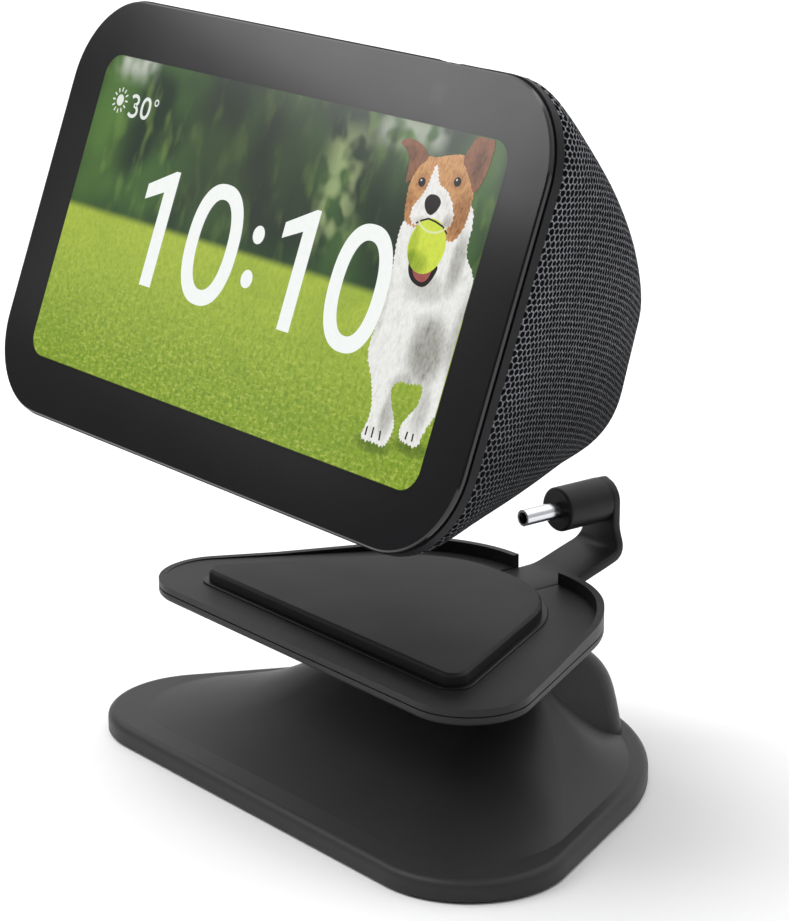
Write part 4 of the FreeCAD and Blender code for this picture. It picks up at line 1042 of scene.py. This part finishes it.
def pad(material):
    """Soft dock pad with a crisp bevel round its top."""
    rings = []
    for inset, up in PAD_EDGE:
        outline = tapered_outline(PAD_OUTLINE, -inset)
        rings.append([Vector((x, y, PAD_BOTTOM + up)) * MM for x, y in outline])
    obj = add_object("pad", prism("pad", rings), material, "tray")
    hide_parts("dock_pad")


# ---------------------------------------------------------------- stage
FLOOR_HALF = 6.0
# Suns: the way their light travels, strength and angular width in degrees.
SUNS = {"key": ((0.40, 0.42, -1.0), 1.7, 50), "dome": ((0.05, 0.08, -1.0), 1.75, 118)}
# The panel that the glass mirrors: what it faces, its azimuth and elevation in degrees, and its distance.
PANEL_TARGET = Vector((0, -0.04, 0.12))
PANEL_AZIMUTH, PANEL_ELEVATION, PANEL_AWAY = -54.2, 19.2, 3.0
PANEL_SIZE, PANEL_POWER = (0.55, 0.42), 2.0
# A weaker panel beside it, for the lower edge of the glass.
FILL_OFFSET, FILL_SIZE, FILL_POWER = Vector((0.16, 0.1, -0.28)), (0.4, 0.6), 0.3
# Direction in which the surroundings brighten, and their strengths at its two ends.
WORLD_TOWARDS = (-0.30, 0.90, 0.32)
WORLD_DIM, WORLD_BRIGHT = (-0.25, 0.13), (0.85, 0.85)
CAMERA_AT = Vector((448.9, -361.0, 236.7))
CAMERA_TOWARDS = Vector((-0.7528, 0.5924, -0.2869))
CAMERA_LENS, CAMERA_SENSOR = 118.05, 36.0
CAMERA_NEAR, CAMERA_FAR = 0.01, 50


def floor():
    g = Graph("floor_white")
    g.surface(Base_Color=g.mix(g.noise(g.object_mm(), 0.002, 3.0), srgb(243, 243, 243), srgb(247, 247, 247)),
              Roughness=0.7, Specular_IOR_Level=0.1)
    points = [(x * FLOOR_HALF, y * FLOOR_HALF, 0) for x, y in ((-1, -1), (1, -1), (1, 1), (-1, 1))]
    obj = add_object("floor", mesh_from("floor", points, [(0, 1, 2, 3)], False), g.material)


def placed(name, data, towards, position=(0, 0, 0)):
    """A light or camera that looks along a direction."""
    obj = bpy.data.objects.new(name, data)
    bpy.context.scene.collection.objects.link(obj)
    obj.location = position
    obj.rotation_euler = Vector(towards).to_track_quat("-Z", "Y").to_euler()
    return obj


def area_light(name, position, target, size, power):
    data = bpy.data.lights.new(name, "AREA")
    data.shape = "RECTANGLE"
    data.size, data.size_y = size
    data.energy = power
    placed(name, data, target - position, position)


def sun_light(name, towards, strength, spread):
    data = bpy.data.lights.new(name, "SUN")
    data.energy = strength
    data.angle = math.radians(spread)
    placed(name, data, towards)


def studio_world():
    """White surroundings: a pale backdrop, dimmer on the side that the glass faces."""
    world = bpy.data.worlds.new("studio")
    world.use_nodes = True
    tree = world.node_tree
    coords = tree.nodes.new("ShaderNodeTexCoord")
    along = tree.nodes.new("ShaderNodeVectorMath")
    along.operation = "DOT_PRODUCT"
    along.inputs[1].default_value = WORLD_TOWARDS
    tree.links.new(coords.outputs["Generated"], along.inputs[0])
    ramp = tree.nodes.new("ShaderNodeMapRange")
    ramp.interpolation_type = "SMOOTHSTEP"
    for end, (at, strength) in (("Min", WORLD_DIM), ("Max", WORLD_BRIGHT)):
        ramp.inputs["From " + end].default_value = at
        ramp.inputs["To " + end].default_value = strength
    tree.links.new(along.outputs["Value"], ramp.inputs["Value"])
    tree.links.new(ramp.outputs["Result"], tree.nodes["Background"].inputs["Strength"])
    tree.nodes["Background"].inputs["Color"].default_value = (1.0, 1.0, 1.0, 1.0)
    bpy.context.scene.world = world


def lighting():
    studio_world()
    for name, settings in SUNS.items():
        sun_light(name, *settings)
    azimuth, elevation = math.radians(PANEL_AZIMUTH), math.radians(PANEL_ELEVATION)
    flat = math.cos(elevation) * PANEL_AWAY
    panel = Vector((math.sin(azimuth) * flat, -math.cos(azimuth) * flat, math.sin(elevation) * PANEL_AWAY))
    fill = panel * 0.9 + PANEL_TARGET + FILL_OFFSET
    area_light("glass_panel", panel + PANEL_TARGET, PANEL_TARGET, PANEL_SIZE, PANEL_POWER)
    area_light("glass_fill", fill, PANEL_TARGET, FILL_SIZE, FILL_POWER)


def camera():
    data = bpy.data.cameras.new("camera")
    data.sensor_fit = "VERTICAL"
    data.sensor_width = CAMERA_SENSOR
    data.sensor_height = CAMERA_SENSOR
    data.lens = CAMERA_LENS
    data.clip_start = CAMERA_NEAR
    data.clip_end = CAMERA_FAR
    bpy.context.scene.camera = placed("camera", data, CAMERA_TOWARDS, CAMERA_AT * MM)
    bpy.context.scene.view_settings.view_transform = "Standard"


# ---------------------------------------------------------------- finishes by material slot
# Moulded pieces: colour, roughness, then grain, grain scale and coat where they aren't the usual ones.
MOULDED = {
    "frame_plastic": ((18, 18, 21), 0.42),
    "screen": ((22, 26, 24), 0.15, 0.05),
    "lens_glass": ((8, 8, 14), 0.06, 0.02, 9.0, 1.0),
    "dark_plastic": ((24, 24, 27), 0.4),
    "shutter_plastic": ((46, 46, 50), 0.5),
    "housing_plastic": ((34, 34, 37), 0.5),
    "foot_rubber": ((30, 30, 33), 0.7, 0.6, 6.0),
    "bar_plastic": ((40, 40, 44), 0.5),
    "button_plastic": ((50, 50, 55), 0.5),
    "speaker_paper": ((40, 40, 42), 0.85, 0.9, 3.0),
    "chip_plastic": ((28, 28, 30), 0.6),
    "flex_film": ((170, 112, 44), 0.25, 0.1),
    "stand_plastic": ((41, 41, 42), 0.46),
    "pad_rubber": ((34, 34, 35), 0.5, 0.3, 5.0),
    "lip_plastic": ((24, 24, 25), 0.36),
    "strap_rubber": ((35, 35, 37), 0.44, 0.2, 7.0),
    "plug_rubber": ((32, 32, 34), 0.42, 0.2, 7.0),
    "insulator_plastic": ((18, 18, 20), 0.4),
    "base_plastic": ((47, 47, 48), 0.44),
    "cover_plastic": ((30, 30, 33), 0.6, 0.7, 4.0),
}
# Metal pieces: colour, roughness, then depth and direction of brushing where they aren't the usual ones.
METALS = {
    "panel_steel": ((196, 198, 202), 0.3),
    "screw_steel": ((150, 152, 156), 0.28, 0.3, (2.0, 2.0, 40.0)),
    "magnet_ferrite": ((88, 88, 92), 0.55),
    "sink_aluminium": ((188, 190, 194), 0.35),
    "contact_brass": ((226, 190, 110), 0.25),
    "magnet_nickel": ((208, 208, 212), 0.15),
    "barrel_nickel": ((222, 224, 228), 0.12, 0.2, (1.0, 30.0, 1.0)),
    "hinge_steel": ((176, 178, 182), 0.32),
    "washer_steel": ((196, 198, 202), 0.25),
    "ballast_steel": ((130, 132, 136), 0.45),
    "port_steel": ((200, 202, 206), 0.22),
}


def finishes():
    """One material for each material slot of the part."""
    finish = {
        "bezel_glass": glass_material(),
        "gasket_foam": foam("gasket_foam", srgb(34, 34, 36)),
        "knit_fabric": knit_material(),
        "circuit_board": circuit("circuit_board"),
    }
    for build, table in ((moulded, MOULDED), (metal, METALS)):
        for name, (colour, *settings) in table.items():
            finish[name] = build(name, srgb(*colour), *settings)
    return finish


def dress(finish):
    """Give every CAD node the finish of its material slot."""
    for part in frame["record"]["subparts"]:
        node = NODES[part["node"]]
        node.data.materials.clear()
        node.data.materials.append(finish[part["material_slot"]])


def main():
    finish = finishes()
    dress(finish)
    fabric_skin(finish["knit_fabric"])
    strap(finish["strap_rubber"])
    pad(finish["pad_rubber"])
    clock()
    weather()
    dog()
    floor()
    lighting()
    camera()


main()
